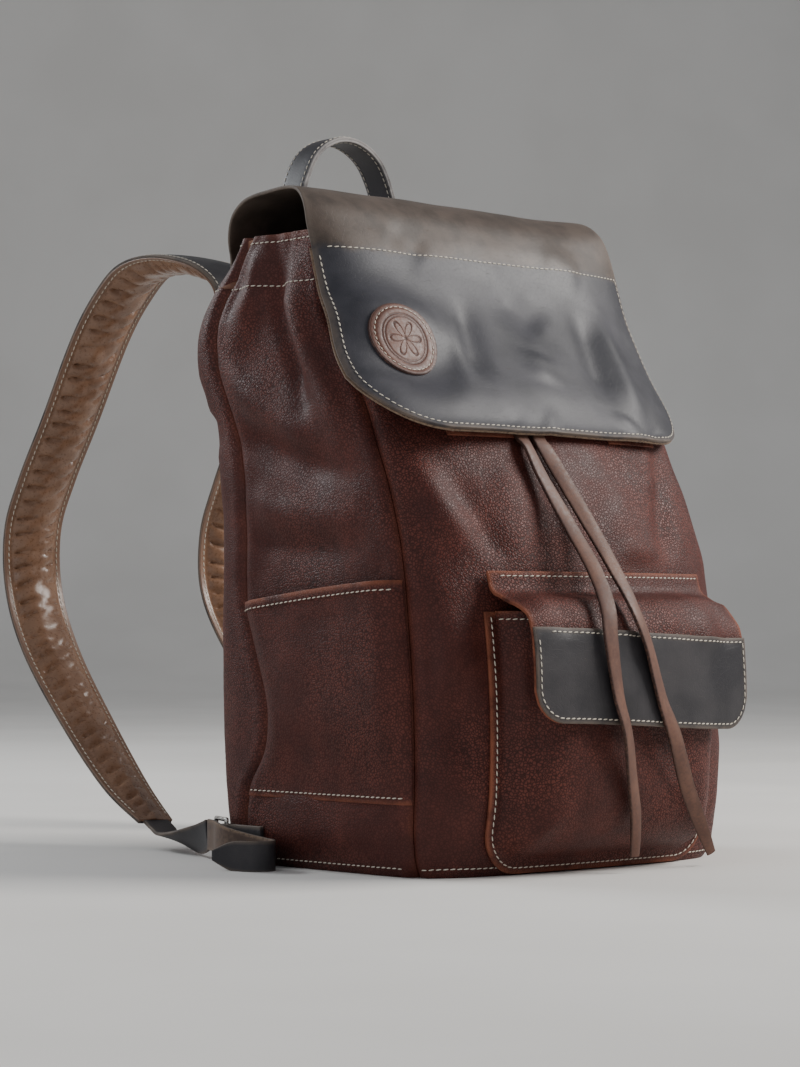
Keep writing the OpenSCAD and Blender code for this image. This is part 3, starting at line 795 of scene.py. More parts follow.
# %% Main flap
# The flap's middle line from its root to its free edge: distance to the back, height.
FLAP_LINE = [(165, 404), (158, 418), (147, 437), (138, 452), (127, 466), (114, 474), (101, 477),
             (84, 478.5), (62, 478.5), (44, 474.5), (28, 464.5), (17, 449), (9, 434), (2, 418), (-8, 399),
             (-23, 377), (-41, 353), (-58, 331), (-70, 311), (-76, 304)]
FLAP_HALF, FLAP_CORNER, FLAP_TOP, FLAP_PLY, FACING_PLY, FLAP_FLARE = 153, 46, 3.6, 2.4, 1.8, 0.12
flap_route = Route([(0, y, z) for y, z in FLAP_LINE])
UPPER_STITCHES = Vector((0, 8, 434))
FACING_START = min(range(int(flap_route.length)), key=lambda s: (flap_route.at(s) - UPPER_STITCHES).length)
print("flap leather", 2 * FLAP_HALF, "x", round(flap_route.length), "mm, facing from", FACING_START)
FLAP_DENTS = [
    fold(-4, 12, (-40, 0, 404), (-50, -26, 370), (-62, -50, 336)),
    fold(3, 6, (-54, -4, 398), (-66, -28, 366), (-80, -54, 332)),
    fold(-5, 13, (84, 0, 404), (70, -28, 366), (54, -60, 326)),
    fold(4.2, 9, (106, 2, 402), (97, -28, 360), (86, -62, 320)),
    fold(-2.5, 14, (130, 4, 392), (124, -28, 344)),
    fold(-3, 20, (0, 0, 414), (30, -20, 380)), fold(2.5, 14, (10, -30, 366), (0, -52, 340)),
    fold(-2.5, 16, (-90, 20, 452), (-60, 6, 430)), fold(2, 18, (60, 14, 446), (100, 6, 428)),
    fold(3.5, 11, (72, -62, 318), (64, -70, 308)), fold(-3, 10, (96, -62, 312), (100, -68, 304)),
    fold(2.5, 12, (-20, -66, 314), (-8, -72, 306)), fold(-2.5, 9, (-52, -62, 314), (-46, -70, 306))]
# Length along the flap, half width: it is narrow where it is sewn on behind the mouth.
FLAP_WIDTH = [(0, 108), (37, 122), (55, 132), (73, 138), (95, 141), (118, 142), (140, 144), (159, 147),
              (180, 151), (200, 153), (420, 153)]
BADGE_X, BADGE_Z, BADGE_RADIUS = -117, 366, 27
BADGE_S = min(range(150, int(flap_route.length)), key=lambda s: abs(flap_route.at(s).z - BADGE_Z))


def corner_cut(x, half, radius):
    over = abs(x) - (half - radius)
    return 0 if over <= 0 else radius - math.sqrt(max(radius * radius - over * over, 0))


def flap_lower(s):
    """0 over the upper part of the flap, growing to 1 towards its free edge."""
    middle = flap_route.at(s)
    return ease((420 - middle.z) / 90) * (middle.y < 62)


def flap_cut(x, s):
    """The flap is cut wider at its lower left."""
    return x * (1 + FLAP_FLARE * flap_lower(s) * (x / FLAP_HALF)**4) if x < 0 else x


def flap_point(x, s, out=0.0):
    """x runs across the flap and s from its root to its free edge."""
    middle, heading = flap_route.at(s), flap_route.heading(s)
    normal = Vector((0, heading.z, -heading.y))
    # The sides fall back behind the middle.
    sag, power = (22, 8) if x < 0 else (19 + 11 * flap_lower(s), 4)
    sag *= ease((62 - middle.y) / 72)
    share = abs(x) / FLAP_HALF / (1 + FLAP_FLARE * flap_lower(s) * (x < 0))
    x *= curve(FLAP_WIDTH, s, 1) / FLAP_HALF
    p = middle + normal * out + Vector((x, sag * share**power, 0))
    dents = fold_height(p, FLAP_DENTS) + noise.noise(p / 80) * 0.9 + noise.noise(p / 26) * 0.3
    across, down = x - BADGE_X, s - BADGE_S
    away = math.hypot(across, down)
    dents *= ease((62 - middle.y) / 50) * (0.1 + 0.9 * ease((away - 24) / 24))
    # The badge stiffens the leather, which stands a little steeper there.
    dents -= 7.5 * math.sin(clamp(down / 34, -1, 1) * math.pi / 2) * math.exp(-(away / 44)**4)
    low = ease((s - flap_route.length + 34) / 30)
    # Above the mouth the leather sinks a little between the handle and the sides.
    top = 2.5 * math.sin(math.pi * clamp((s - 100) / 110)) * noise.noise(Vector((x / 60, s / 90, 5)))
    return p + normal * (clamp(dents, -9, 8) * (1 - 0.35 * low) + top)


def flap_edge(u, v):
    return hill(min(u, 1 - u, (1 - v) * 2.2) * 160, 2.6) + 0.25 * hill(v - 0.42, 0.06)


def flap_place(start, out):
    def place(u, v):
        side = 1 - 2 * u
        x = FLAP_HALF * 0.999 * side * (1.25 - 0.25 * side * side)
        s = start + (flap_route.length - corner_cut(x, FLAP_HALF, FLAP_CORNER) - start) * v
        return flap_point(flap_cut(x, s), s, out)
    return place


flap = patch("flap", 84, 124, flap_place(0, FLAP_TOP), (306, flap_route.length), flap_edge)
thicken(flap, FLAP_PLY, 0.5)
dress(flap, flap_leather, "flap_leather", "bag", "flap_root", "flap_panel",
      bend=("main_flap", (0, 125, 470), (0, 85, 482)))
facing = patch("flap_facing_suede", 84, 72, flap_place(FACING_START, FLAP_TOP - FLAP_PLY - 0.05), (306, 280),
               lambda u, v: flap_edge(u, 0.4 + 0.6 * v))
thicken(facing, FACING_PLY, 0.4)
dress(facing, edge_suede, "facing_leather", "main_flap", "flap_facing")


def rounded_marks(half, top, low, radius, inset):
    """Down one side of a flap, round its corners and up the other side, inset from its edge."""
    bend = radius - inset
    marks = [(-(half - inset), top), (-(half - inset), low - radius)]
    for k in range(1, 13):
        a = math.pi / 2 * k / 12
        marks.append((-(half - radius) - bend * math.cos(a), low - radius + bend * math.sin(a)))
    return marks + [(-x, s) for x, s in reversed(marks)]


flap_skin = lambda x, s: flap_point(flap_cut(-x, s), s, FLAP_TOP)
flap_marks = rounded_marks(FLAP_HALF, FACING_START, flap_route.length, FLAP_CORNER, 3.6)
flap_runs = [surface_run(flap_skin, flap_marks),
             surface_run(flap_skin, [(-FLAP_HALF + 3 + k * 6, FACING_START) for k in range(51)])]
sew("flap_stitches", "main_flap", flap_runs)

# %% [markdown]
# ## The badge
# The round patch is thin brown leather, sewn on through the flap. Its pressed decoration is a plain
# geometric rosette of six petals inside two rings. The disc is spun from a line of points, and the
# pattern is pressed in by lowering those points that lie on its lines, before the disc is bent onto
# the flap.

# %% Badge
def pressed(r, angle):
    """How deep the stamp presses at this place, from 0 to 1."""
    petals = abs(r - 12.5 * abs(math.cos(3 * angle)))
    inner = hill(petals, 0.75) if r < 13.2 else 0
    return max(inner, hill(r - 17.5, 0.5), hill(r - 15.6, 0.4),
               hill(r, 1.4))


def badge():
    bm = bmesh.new()
    radii = [0.02] + [0.55 * k for k in range(1, 47)] + [25.7, 26.0, 26.0]
    chain = [bm.verts.new((r, 0, 0)) for r in radii]
    lines = [bm.edges.new(pair) for pair in zip(chain, chain[1:])]
    chain[-1].co.z = -1.8
    chain[-3].co.z = -0.25
    bmesh.ops.spin(bm, geom=chain + lines, axis=(0, 0, 1), cent=(0, 0, 0), angle=math.tau, steps=150,
                   use_merge=True)
    worn = bm.verts.layers.float.new("wear")
    grow = BADGE_RADIUS / 26
    for vertex in bm.verts:
        r, angle = vertex.co.xy.length, math.atan2(vertex.co.y, vertex.co.x)
        depth, edge = pressed(r, angle), hill(r - 26, 0.8)
        vertex[worn] = clamp(depth + edge)
        rolled = 0.25 * hill(r - 20.5, 2) - 0.3 * hill(r - 22.6, 0.8)
        out = 1.9 + vertex.co.z - 0.55 * depth + rolled
        vertex.co = flap_point(BADGE_X + vertex.co.x * grow, BADGE_S - vertex.co.y * grow, FLAP_TOP + out) * MM
    bmesh.ops.recalc_face_normals(bm, faces=bm.faces[:])
    piece = to_object("badge", bm)
    dress(piece, badge_leather, "facing_leather", "main_flap", "flap_badge")
    seam = 22.6 * grow
    ring = [(BADGE_X + seam * math.cos(math.tau * k / 90), BADGE_S - seam * math.sin(math.tau * k / 90))
            for k in range(91)]
    skin = lambda x, s: flap_point(x, s, FLAP_TOP + 1.8)
    sew("badge_stitches", "main_flap", [flipped(surface_run(skin, ring), 0.15)], 4.1, 3.0, 0.42)


badge()

# %% [markdown]
# ## The front pocket
# A gusset gives the pocket its depth: it lies flat on the panel along a sewn flange, rises over a
# soft shoulder and bulges in the middle. Its mouth has a turned hem. The flange's cut edge is left
# natural and looks lighter, so the wear value is high there.

# %% Front pocket
POCKET_HALF, POCKET_FLOOR, POCKET_TOP, POCKET_DEPTH, POCKET_CORNER = 109, 4, 181, 28, 30


def pocket_low(x):
    return POCKET_FLOOR + corner_cut(x, POCKET_HALF, POCKET_CORNER)


def pocket_inset(x, z):
    """The distance from the pocket's sewn edge."""
    dx, dz = POCKET_HALF - abs(x), z - POCKET_FLOOR
    if dx < POCKET_CORNER and dz < POCKET_CORNER:
        return POCKET_CORNER - math.hypot(POCKET_CORNER - dx, POCKET_CORNER - dz)
    return min(dx, dz)


POCKET_FOLDS = [fold(-3, 9, (-88, -128, 172), (-84, -130, 120), (-90, -126, 70)),
                fold(2.5, 14, (-60, -146, 90), (-30, -150, 50)), fold(-3, 14, (10, -150, 110), (50, -146, 60)),
                fold(2.5, 12, (70, -140, 130), (84, -132, 80)), fold(-2.5, 10, (30, -146, 40), (-10, -146, 30))]


def pocket_point(x, z, out=0.0):
    inset = pocket_inset(x, z)
    rise = clamp((inset - 9) / 42)
    full = 1 - (1 - rise)**2.6
    full = full * ease(rise * 5 + 0.1) if rise > 0 else 0
    y = front_y(x, z) - 2.6 - (POCKET_DEPTH - 2.1) * full
    p = Vector((x, y, z))
    soft = (fold_height(p, POCKET_FOLDS) + noise.noise(p / 45) * 1.8) * ease((inset - 10) / 14)
    return p - Vector((0, clamp(soft, -4, 1.5) + out - 0.5 * hill(inset - 9, 1.6), 0))


def pocket_edge(u, v):
    x = POCKET_HALF * (2 * u - 1)
    z = pocket_low(x) + (POCKET_TOP - pocket_low(x)) * v
    return clamp(1.3 * hill(pocket_inset(x, z), 2.2) + hill(POCKET_TOP - z, 3))


def share_to_x(u, half):
    """Columns that stand closer together towards the sides."""
    q = 2 * u - 1
    return half * 0.9995 * (1.3 * q - 0.3 * q**3)


def pocket_place(u, v):
    x = share_to_x(u, POCKET_HALF)
    return pocket_point(x, pocket_low(x) + (POCKET_TOP - pocket_low(x)) * v)


pocket = patch("pocket", 88, 66, pocket_place, (218, 177),
               lambda u, v: pocket_edge(share_to_x(u, 1) / 2 + 0.5, v))
thicken(pocket, LEATHER, 0.5)
dress(pocket, pocket_leather, "body_leather", "bag", "front_pocket")
hem = patch("pocket_hem", 88, 4, lambda u, v: pocket_point(share_to_x(u, POCKET_HALF - 8), 172.5 + 9 * v, 0.7),
            (202, 9), lambda u, v: math.exp(-(1 - v) * 9 / 1.6))
thicken(hem, 0.9, 0.3)
dress(hem, pocket_leather, "body_leather", "bag")
flange = [(-x, POCKET_TOP + POCKET_FLOOR - s) for x, s in
          rounded_marks(POCKET_HALF, POCKET_FLOOR + 3, POCKET_TOP, POCKET_CORNER, 4.4)]
pocket_skin = lambda x, z: pocket_point(x, z, 0.1)
sew("pocket_stitches", "bag",
    [surface_run(pocket_skin, list(reversed(flange))),
     surface_run(lambda x, z: pocket_point(x, z, 0.8), [(-100 + 8 * k, 176) for k in range(26)])])

# %% [markdown]
# ## The pocket flap
# This flap starts as a welt that is sewn flat to the panel, bends out over the pocket's mouth and
# hangs down in front of it. Only its lower half carries a dark overlay, sewn all round. The body
# leather shows above it, and it is pinched where the laces press on it.

# %% Pocket flap
# Its middle line from the welt to the free edge: distance to the back, height.
POCKET_FLAP = [(-111.5, 208), (-112.6, 204), (-113.6, 200), (-115.4, 195.5), (-120, 191.5), (-129, 189.5),
               (-138, 187.5), (-145.5, 182), (-150, 172), (-152, 155), (-153, 134), (-153, 107)]
POCKET_FLAP_HALF, POCKET_FLAP_CORNER, OVERLAY_Z, OVERLAY_OUT = 106, 24, 170, LEATHER + 1.9
pocket_flap_route = Route([(0, y, z) for y, z in POCKET_FLAP])
OVERLAY_START = min(range(int(pocket_flap_route.length)),
                    key=lambda s: abs(pocket_flap_route.at(s).z - OVERLAY_Z))
PINCHES = [fold(-2.5, 7, (-44, -138, 190), (-43, -154, 172)), fold(-2.5, 7, (-17, -138, 190), (-14, -154, 172)),
           fold(2.5, 6, (-26, -140, 186), (-24, -156, 160)), fold(2.2, 12, (60, -136, 190), (66, -152, 160)),
           fold(-2, 10, (84, -134, 188), (84, -150, 160)), fold(-2.2, 10, (-76, -136, 189), (-78, -150, 160)),
           fold(2, 10, (20, -134, 190), (24, -150, 170))]


def pocket_flap_point(x, s, out=0.0):
    middle, heading = pocket_flap_route.at(s), pocket_flap_route.heading(s, 3)
    normal = Vector((0, heading.z, -heading.y))
    loose, q = ease((-112 - middle.y) / 24), x / POCKET_FLAP_HALF
    follow = front_y(x, middle.z) - front_y(0, middle.z)
    p = middle + normal * out + Vector((x, follow * (1 - loose) + 8 * q * q * loose, 0))
    wave = fold_height(p, PINCHES) + noise.noise(p / 40) * 2.2
    # The right end hangs a little lower than the left one.
    p.z -= ease((q + 1) / 2) * 8 * ease((-134 - middle.y) / 16)
    side = 3.0 * ease((abs(q) - 0.8) / 0.2) * math.sin(math.pi * clamp((s - 22) / 30))
    return p + normal * (clamp(wave, -4, 2.5) * ease((s - 14) / 14) - side)


def pocket_flap_place(start, out):
    def place(u, v):
        x = POCKET_FLAP_HALF * 0.999 * (1 - 2 * u)
        total = pocket_flap_route.length - corner_cut(x, POCKET_FLAP_HALF, POCKET_FLAP_CORNER)
        return pocket_flap_point(x, start + (total - start) * v, out)
    return place


def cut_edge(half, length):
    """Wear along the edges of a piece that is twice half wide."""
    return lambda u, v: hill(min(u * 2 * half, (1 - u) * 2 * half, v * length, (1 - v) * length), 2.2)


pocket_flap = patch("pocket_flap", 70, 52, pocket_flap_place(0, LEATHER), (212, pocket_flap_route.length),
                    cut_edge(106, 140))
thicken(pocket_flap, LEATHER, 0.5)
dress(pocket_flap, pocket_leather, "body_leather", "bag", "pocket_flap_welt", "pocket_flap_leather",
      bend=("pocket_flap", (0, -110, 212), (0, -116, 196)))
overlay = patch("pocket_flap_panel", 70, 26, pocket_flap_place(OVERLAY_START, OVERLAY_OUT), (212, 66),
                cut_edge(106, 66))
thicken(overlay, 1.8, 0.5)
dress(overlay, dark_leather, "flap_leather", "pocket_flap", "pocket_flap_overlay")
overlay_skin = lambda x, s: pocket_flap_point(-x, s, OVERLAY_OUT)
overlay_marks = rounded_marks(POCKET_FLAP_HALF, OVERLAY_START + 3, pocket_flap_route.length,
                              POCKET_FLAP_CORNER, 3.4)
sew("pocket_flap_stitches", "pocket_flap",
    [surface_run(overlay_skin, overlay_marks),
     surface_run(overlay_skin, [(-102 + 8 * k, OVERLAY_START + 3) for k in range(26)])])
sew("welt_stitches", "bag",
    [surface_run(lambda x, s: pocket_flap_point(-x, s, LEATHER), [(-102 + 8.5 * k, 3.5) for k in range(25)])])

# %% [markdown]
# ## The side pockets
# Each side pocket is a flat piece caught in the two upright seams and sewn down along the bottom.
# Its mouth slopes down towards the back, is turned over once and gapes a little.

# %% Side pockets
SIDE_LOW, SIDE_HIGH, SIDE_DROP, SIDE_DEPTH = 56, 202, 15, 10
SIDE_TURN = Turn(180 - BACK_SEAM, 180 + FRONT_SEAM)


def side_pocket_point(t, u, out=0.0):
    """t runs from the back seam to the front seam, and u from the bottom to the mouth."""
    top = SIDE_HIGH - SIDE_DROP * (1 - t)**1.3
    z = SIDE_LOW - 4 + (top - SIDE_LOW + 4) * u
    p, normal = body_frame(wander(SIDE_TURN.at(0.004 + 0.992 * t), SIDE_TURN.start, SIDE_TURN.end, z), z)
    gap = min(t, 1 - t) * SIDE_TURN.width
    full = ease(gap / 26 + 0.16) * ease(u * 2.4 - 0.06) * (0.72 + 0.28 * u)
    wave = noise.noise(Vector((p.y, p.z, 9)) / 40) * 2.4 * ease(u * 4) * ease(gap / 26)
    seam_dip = 2.6 * hill(gap, 3.5)
    wave *= (0.4 if u > 0.9 else 1) * 0.7
    return p + normal * (1.2 + (SIDE_DEPTH - 1) * full + wave - seam_dip + out)


def side_pocket(name, side, node):
    def place(u, v, out=0.0):
        p = side_pocket_point(u, v, out)
        return Vector((p.x * -side, p.y, p.z))
    turned = side > 0
    leather = patch(name, 44, 40, place, (190, 146), lambda u, v: 0.7 * hill(v * 146, 2),
                    turned=turned)
    thicken(leather, LEATHER, 0.4)
    dress(leather, pocket_leather, "body_leather", "bag", node)
    rolled = patch(name + "_hem", 44, 5,
                   lambda u, v: place(u, 0.952 + 0.05 * v, math.sin(math.pi * (0.1 + 0.85 * v))),
                   (190, 7), lambda u, v: ease((v - 0.35) / 0.6), turned=turned)
    thicken(rolled, 1.4, 0.4)
    dress(rolled, pocket_leather, "body_leather", "bag")
    runs = []
    for level, out in ((0.958, 1.0), (0.03, 0.15)):
        run = surface_run(lambda a, b: place(a / 100, b / 100, out),
                          [(2 + 4 * k, level * 100) for k in range(25)], 0.1)
        runs.append(flipped(run, 0.1) if turned else run)
    sew(name + "_stitches", "bag", runs)


side_pocket("pocket_left", -1, "side_pocket_left")
side_pocket("pocket_right", 1, "side_pocket_right")

# %% [markdown]
# ## Bands
# Laces, handle and straps are all bands: a middle line, the direction of the width at each marked
# point, and the width. A band answers where a place across it and along it is, at any height above
# its middle.

# %% Bands
class Band:
    def __init__(self, points, sides, widths, mirror=1):
        self.route = Route(points)
        count = len(points)
        self.sides = [Vector(s) for s in (sides if isinstance(sides, list) else [sides] * count)]
        self.widths = list(widths) if isinstance(widths, (list, tuple)) else [widths] * count
        self.mirror, self.frames = mirror, {}

    def frame(self, s):
        key = round(s, 3)
        if key not in self.frames:
            heading = self.route.heading(s)
            side = self.route.value(self.sides, s)
            side = (side - heading * side.dot(heading)).normalized()
            self.frames[key] = (self.route.at(s), side, side.cross(heading), self.route.value(self.widths, s))
        return self.frames[key]

    def point(self, a, s, level=0.0):
        """a runs from -1 to 1 across the band."""
        middle, side, normal, width = self.frame(s)
        p = middle + side * (a * width / 2) + normal * level
        return Vector((p.x * self.mirror, p.y, p.z))

    def run(self, a, start, end, level, outward=1):
        """Stitches along the band, on the face on the side of outward."""
        steps = max(2, int((end - start) / 4))
        run = []
        for k in range(steps + 1):
            s = start + (end - start) * k / steps
            height = level(a, s) if callable(level) else level
            _, _, normal, _ = self.frame(s)
            normal = Vector((normal.x * self.mirror, normal.y, normal.z)) * outward
            run.append((self.point(a, s, height) + normal * 0.15, normal))
        return run


def band_patch(name, band, columns, step, level, outward, start=0.0, end=None, wear=None):
    """One face of a band; its outside is towards the normal for 1 and away from it for -1."""
    end = band.route.length if end is None else end
    height = level if callable(level) else lambda a, s: level
    return patch(name, columns, max(2, round((end - start) / step)),
                 lambda u, v: band.point(2 * u - 1, start + (end - start) * v,
                                         height(2 * u - 1, start + (end - start) * v)),
                 (band.widths[len(band.widths) // 2], end - start), wear, turned=outward * band.mirror < 0)


# %% [markdown]
# ## The laces
# Each lace comes out of its eyelet, lies on the panel under the flap and hangs down over the pocket
# flap. It is a flat thong that narrows towards its end. A limp cord follows what it lies on, so its
# middle line is given point by point.

# %% Laces
def lace_top(start, end):
    points = []
    for k in range(9):
        z = 427 - 125 * k / 8
        x = start + (end - start) * ease(k / 8)
        points.append((x, front_y(x, z) - 2.4, z))
    return points


LACE_LEFT = lace_top(-22, -42) + [
    (-42, -78.5, 295), (-38, -90, 272), (-34, -112, 238), (-37, -137, 208), (-43, -154, 184),
    (-45, -159.5, 160), (-38, -159.5, 125), (-28, -158.5, 100), (-17, -152, 70), (-7, -146, 40), (-4, -142, 14)]
LACE_RIGHT = lace_top(22, -26) + [
    (-26, -78.5, 295), (-19, -92, 270), (-15, -115, 236), (-17, -140, 205), (-17, -155.5, 182),
    (-8, -159.5, 158), (5, -159.5, 122), (20, -157.5, 96), (42, -149, 60), (63, -143, 32), (78, -139, 12)]
LACE_WIDTH = 12


def lace(name, points, body, top_node, end_node, twist):
    start = Vector((points[0][0], front_y(EYELET_X, EYELET_Z) + 1, EYELET_Z))
    points = [start] + [Vector(p) for p in points]
    count = len(points)
    sides = [Vector((1, 0.35 * math.sin(twist + k * 0.8) * (k > 9), 0)) for k in range(count)]
    widths = [8, 10] + [LACE_WIDTH] * (count - 5) + [LACE_WIDTH * 0.95, LACE_WIDTH * 0.85, LACE_WIDTH * 0.6]
    band = Band(points, sides, widths)
    curl = lambda a, s: -1.3 + 0.7 * a * a + 0.25 * noise.noise(Vector((a, s / 14, twist)))
    piece = band_patch(name, band, 8, 3.5, curl, -1, wear=lambda u, v: 1 - ease(min(u, 1 - u) * 6))
    thicken(piece, 2.4, 0.5)
    dress(piece, lace_leather, "lace_leather", "bag", top_node, end_node,
          bend=(body, (0, -78, 301), (0, -84, 286)))
    steps = 60
    path = [band.route.at(band.route.length * k / steps) * MM for k in range(steps + 1)]


lace("lace_left", LACE_LEFT, "lace_left", "lace_top_left", "lace_end_left", 0.4)
lace("lace_right", LACE_RIGHT, "lace_right", "lace_top_right", "lace_end_right", 2.1)

# %% [markdown]
# ## The handle
# Two plies are sewn back to back and bent into a loop. Near its roots the band lies flat against
# the yoke, and by the top of the loop it has turned, so that its width points from front to back.

# %% Handle and yoke
HANDLE_LEG = [(-54, 173.5, 397), (-52, 172, 423), (-50, 170, 452), (-47, 168.5, 480), (-44, 168, 505),
              (-31, 168, 529), (-11, 168, 541)]
HANDLE_TURN = [(1, 0, 0), (0.9, 0.4, 0), (0.6, 0.8, 0), (0.2, 1, 0), (0, 1, 0), (0, 1, 0), (0, 1, 0)]
flip_x = lambda points: [(-p[0], p[1], p[2]) for p in reversed(points)]
handle = Band(HANDLE_LEG + flip_x(HANDLE_LEG), HANDLE_TURN + flip_x(HANDLE_TURN), 27)
rim = lambda u, v: hill(min(u, 1 - u), 0.045)
top_level = lambda a, s: -2.6 + 0.6 * a**4
outer = band_patch("handle_top_ply", handle, 12, 3.5, top_level, -1, wear=rim)
thicken(outer, 2.3, 0.5)
dress(outer, handle_leather, "flap_leather", "handle", "handle_outer")
inner = band_patch("handle_under_ply", handle, 12, 3.5, lambda a, s: 2.0 - 0.4 * a**4, 1, wear=rim)
thicken(inner, 1.9, 0.5)
dress(inner, handle_leather, "flap_leather", "handle", "handle_lining")
sew("handle_stitches", "handle",
    [handle.run(a, 4, handle.route.length - 4, top_level, -1) for a in (-0.78, 0.78)]
    + [handle.run(a, 4, handle.route.length - 4, 1.8, 1) for a in (-0.78, 0.78)])
yoke_skin = lambda angle, z: hide_point(angle, z, 1.8)
yoke = patch("yoke", 60, 14, lambda u, v: yoke_skin(50 + 80 * u, 341 + 43 * v), (220, 43),
             cut_edge(110, 43))
thicken(yoke, 1.9, 0.5)
dress(yoke, dark_leather, "flap_leather", "bag", "back_yoke")
sew("yoke_stitches", "bag",
    [surface_run(yoke_skin, [(51.5 + 3.5 * k, z) for k in range(23)]) for z in (344.5, 380.5)])
snap_skin = lambda x, z: Vector((x, front_y(x, z) - 1.7, z))
for side, name in ((-1, "left"), (1, "right")):
    middle = side * 76
    snap_patch = patch("snap_patch_" + name, 14, 10,
                       lambda u, v: snap_skin(middle - 28 + 56 * u, 302 + 36 * v), (56, 40), cut_edge(28, 40))
    thicken(snap_patch, 1.2, 0.3)
    dress(snap_patch, body_leather, "body_leather", "bag", "snap_patches")
    corners = [(-25, 305), (25, 305), (25, 335), (-25, 335), (-25, 305)]
    sew("snap_patch_stitches_" + name, "bag", [surface_run(snap_skin, [(middle + x, z) for x, z in corners])])

# %% [markdown]
# ## The shoulder straps
# A strap is a dark cover and a soft tan lining, sewn together along flat margins with foam between
# them. The foam pushes the lining out, and because the lining is on the inside of the bend, it
# gathers into short puckers along both margins. The padding is modelled directly, as a crowned
# section with puckers whose depth follows noise, since a flat strap keeps its outline.

# %% Shoulder straps
STRAP_ROOT = [(-92, 173.5, 350), (-92, 174, 364), (-92, 175, 378), (-92, 175.5, 392)]
STRAP = STRAP_ROOT + [
    (-92, 176, 407), (-92, 181, 425), (-92, 206, 440), (-92, 250, 449), (-92, 288, 446), (-93, 314, 429),
    (-95, 342, 396), (-97, 379, 334), (-99, 407, 288), (-100, 425, 248), (-100, 423, 200), (-103, 395, 152),
    (-106, 344, 98), (-111, 288, 50), (-115, 246, 24)]
STRAP_WIDTH = [40, 40, 40, 40, 41, 48] + [54] * 10 + [50, 42, 30]
STRAP_FULL = [0, 0, 0, 0, 0.2, 0.7] + [1] * 10 + [0.95, 0.7, 0.15]
BILLET = [(-114.5, 250, 26), (-116.5, 236, 19.5), (-122, 220, 14), (-131, 192, 13), (-142, 162, 16),
          (-149.5, 143, 20), (-152, 137.5, 22)]
BILLET_TURN = [(1, 0, 0), (1, 0, 0), (0.97, 0, -0.2), (0.8, 0, -0.6), (0.4, 0, -0.9), (0.1, 0, -1), (0, 0, -1)]
TAIL = [(-153.6, 134.5, 22), (-155.8, 130, 22), (-160.2, 119.5, 22), (-166.4, 107.5, 21), (-168.5, 95, 18.5),
        (-167, 76, 15.5), (-166.5, 57, 13.5), (-170, 43, 13), (-180, 35, 13), (-191, 41, 13), (-196, 57, 13),
        (-199, 74, 13)]
TAIL_WIDTH = [22] * 10 + [20, 7]


def strap(name, mirror):
    band = Band(STRAP, (1, 0, 0), STRAP_WIDTH, mirror)
    length = band.route.length
    full = lambda s: clamp(band.route.value(STRAP_FULL, s))

    def cover_level(a, s):
        return 1.9 + full(s) * (2.2 + 2.0 * (1 - a * a))

    def lining_level(a, s):
        f = full(s)
        inset = (1 - abs(a)) * band.frame(s)[3] / 2
        crown = math.sin(math.pi / 2 * clamp((inset - 6.5) / 15))**0.8 if inset > 6.5 else 0
        shift = 10 * noise.noise(Vector((s / 30, 4 * mirror, 0.7 * (a > 0)))) + a * 7
        # Between two puckers the lining swells like a small pillow.
        valley = (1 - abs(math.sin(math.pi * (s + shift + 6 * (a > 0)) / 14)))**2.2
        depth = hill(inset - 13, 8) * (5.2 + 2.8 * noise.noise(Vector((s / 23, a, 8))))
        middle = 1.0 * noise.noise(Vector((s / 13, a * 1.6, 2)))
        return -1.7 + f * (2.2 - 8.8 * crown + (depth * valley + middle) * ease((inset - 6) / 5))

    edge = lambda u, v: hill(min(u, 1 - u), 0.05)
    bend = ("strap_" + name, (mirror * 92, 170, 440), (mirror * 92, 222, 440))
    cover = band_patch("strap_cover_leather_" + name, band, 18, 5, cover_level, 1, wear=edge)
    thicken(cover, 2.0, 0.5)
    dress(cover, dark_leather, "flap_leather", "bag", "strap_root_" + name, "strap_cover_" + name, bend=bend)
    lining = band_patch("strap_pad_" + name, band, 36, 1.8, lining_level, -1, wear=edge)
    thicken(lining, 1.5, 0.4)
    dress(lining, lining_leather, "strap_lining", "bag", "strap_lining_" + name, "strap_foam_" + name,
          bend=bend)
    runs = []
    for a in (-0.86, 0.86):
        runs.append(band.run(a, 60, length - 6, cover_level, 1))
        runs.append(band.run(a, 60, length - 6, lining_level, -1))
    sew("strap_stitches_" + name, "bag", runs, bend=bend)
    billet = Band(BILLET, [Vector(t) for t in BILLET_TURN], 22, mirror)
    piece = band_patch("adjuster_" + name, billet, 8, 4, 1.2, 1, wear=rim)
    thicken(piece, 2.4, 0.5)
    dress(piece, dark_leather, "flap_leather", "strap_" + name, "billet_" + name)
    tail = Band(TAIL, (0, 0, -1), TAIL_WIDTH, mirror)
    piece = band_patch("adjuster_end_" + name, tail, 8, 3, 1.2, 1, wear=rim)
    thicken(piece, 2.4, 0.5, dark_leather)
    dress(piece, edge_suede, "flap_leather", "buckle_" + name, "billet_tail_" + name)
    print("strap", name, round(length), "mm long")


strap("left", 1)
strap("right", -1)

# %% [markdown]
# ## The corner tabs
# A short strip is folded round the ring's front bar and sewn into the seam. Both of its legs lie
# together on the bag, so it is one band that goes out, round the bar and back.

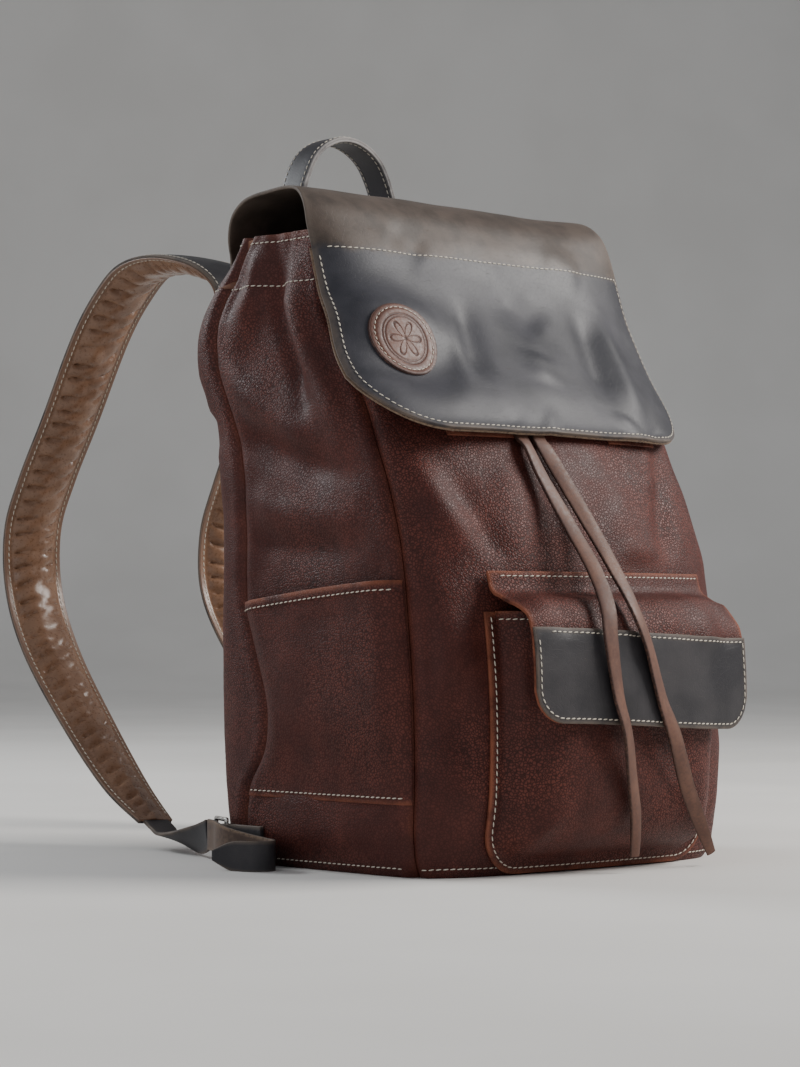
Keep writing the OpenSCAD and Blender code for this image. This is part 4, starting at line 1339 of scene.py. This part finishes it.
# %% Corner tabs
TAB = [(-160.4, 68, 22), (-160.4, 88, 22), (-160.6, 100, 22), (-161.8, 107, 22), (-160.4, 112.2, 22),
       (-157.4, 113.2, 22), (-154.6, 110.5, 22), (-156.2, 104, 22), (-156.9, 92, 22), (-157, 70, 22)]
for side, name in ((1, "left"), (-1, "right")):
    tab = Band(TAB, (0, 0, -1), 18, side)
    piece = band_patch("tab_" + name, tab, 6, 2.5, 0.9, 1, wear=rim)
    thicken(piece, 1.8, 0.4)
    dress(piece, dark_leather, "flap_leather", "bag", "corner_tab_" + name)
    sew("tab_stitches_" + name, "bag", [tab.run(a, 6, 30, 0.9, 1) for a in (-0.7, 0.7)])

# %% [markdown]
# ## Floor, light and the closing lines
# The floor is a plain pale sheet that curves up behind the bag. One large soft light stands high on
# the right in front, a weak one fills the left side, and a narrow one behind draws the edges.

# %% Floor and lights
VIEW_TURN = math.radians(-42.69)


def sweep():
    bm = bmesh.new()
    profile = [(-6, 0), (3.5, 0), (4.1, 0.06), (4.6, 0.3), (4.9, 0.8), (5, 1.6), (5, 7)]
    chain = [bm.verts.new((-9, y, z)) for y, z in profile]
    for pair in zip(chain, chain[1:]):
        bm.edges.new(pair)
    strip = bmesh.ops.extrude_edge_only(bm, edges=bm.edges[:])
    moved = [g for g in strip["geom"] if isinstance(g, bmesh.types.BMVert)]
    bmesh.ops.translate(bm, verts=moved, vec=(18, 0, 0))
    bmesh.ops.rotate(bm, verts=bm.verts, matrix=Matrix.Rotation(VIEW_TURN, 3, "Z"))
    piece = to_object("floor", bm)
    finer = piece.modifiers.new("finer", "SUBSURF")
    finer.levels = finer.render_levels = 3
    made, point, wear = finish_start("floor")
    dust = spots(point, 3, 3)
    tone = dust.band(0.3, 0.7).tint(rgba((0.72, 0.7, 0.67)), rgba((0.77, 0.75, 0.72)))
    varying = {"Base Color": tone, "Roughness": 0.8 + dust * 0.1}
    piece.data.materials.append(finish_end(made, point, {}, varying))


def light(name, place, aim, width, height, power, tone=(1, 1, 1)):
    lamp = bpy.data.lights.new(name, "AREA")
    lamp.shape, lamp.size, lamp.size_y, lamp.energy, lamp.color = "RECTANGLE", width, height, power, tone
    piece = bpy.data.objects.new(name, lamp)
    piece.location = place
    piece.rotation_euler = (Vector(aim) - Vector(place)).to_track_quat("-Z", "Y").to_euler()
    bpy.context.scene.collection.objects.link(piece)


sweep()
light("key", (1.5, -1.2, 1.6), (0, 0, 0.25), 1.3, 1.0, 72, (1.0, 0.97, 0.93))
light("fill", (-2.2, -0.4, 0.9), (0, 0.05, 0.25), 1.4, 1.4, 8, (0.95, 0.97, 1.0))
light("rim", (-0.6, 2.0, 1.4), (0, 0.1, 0.3), 1.0, 0.5, 26, (0.95, 0.98, 1.0))
world = bpy.data.worlds.new("room")
world.use_nodes = True
world.node_tree.nodes["Background"].inputs[0].default_value = (0.8, 0.84, 0.9, 1)
world.node_tree.nodes["Background"].inputs[1].default_value = 0.35
bpy.context.scene.world = world
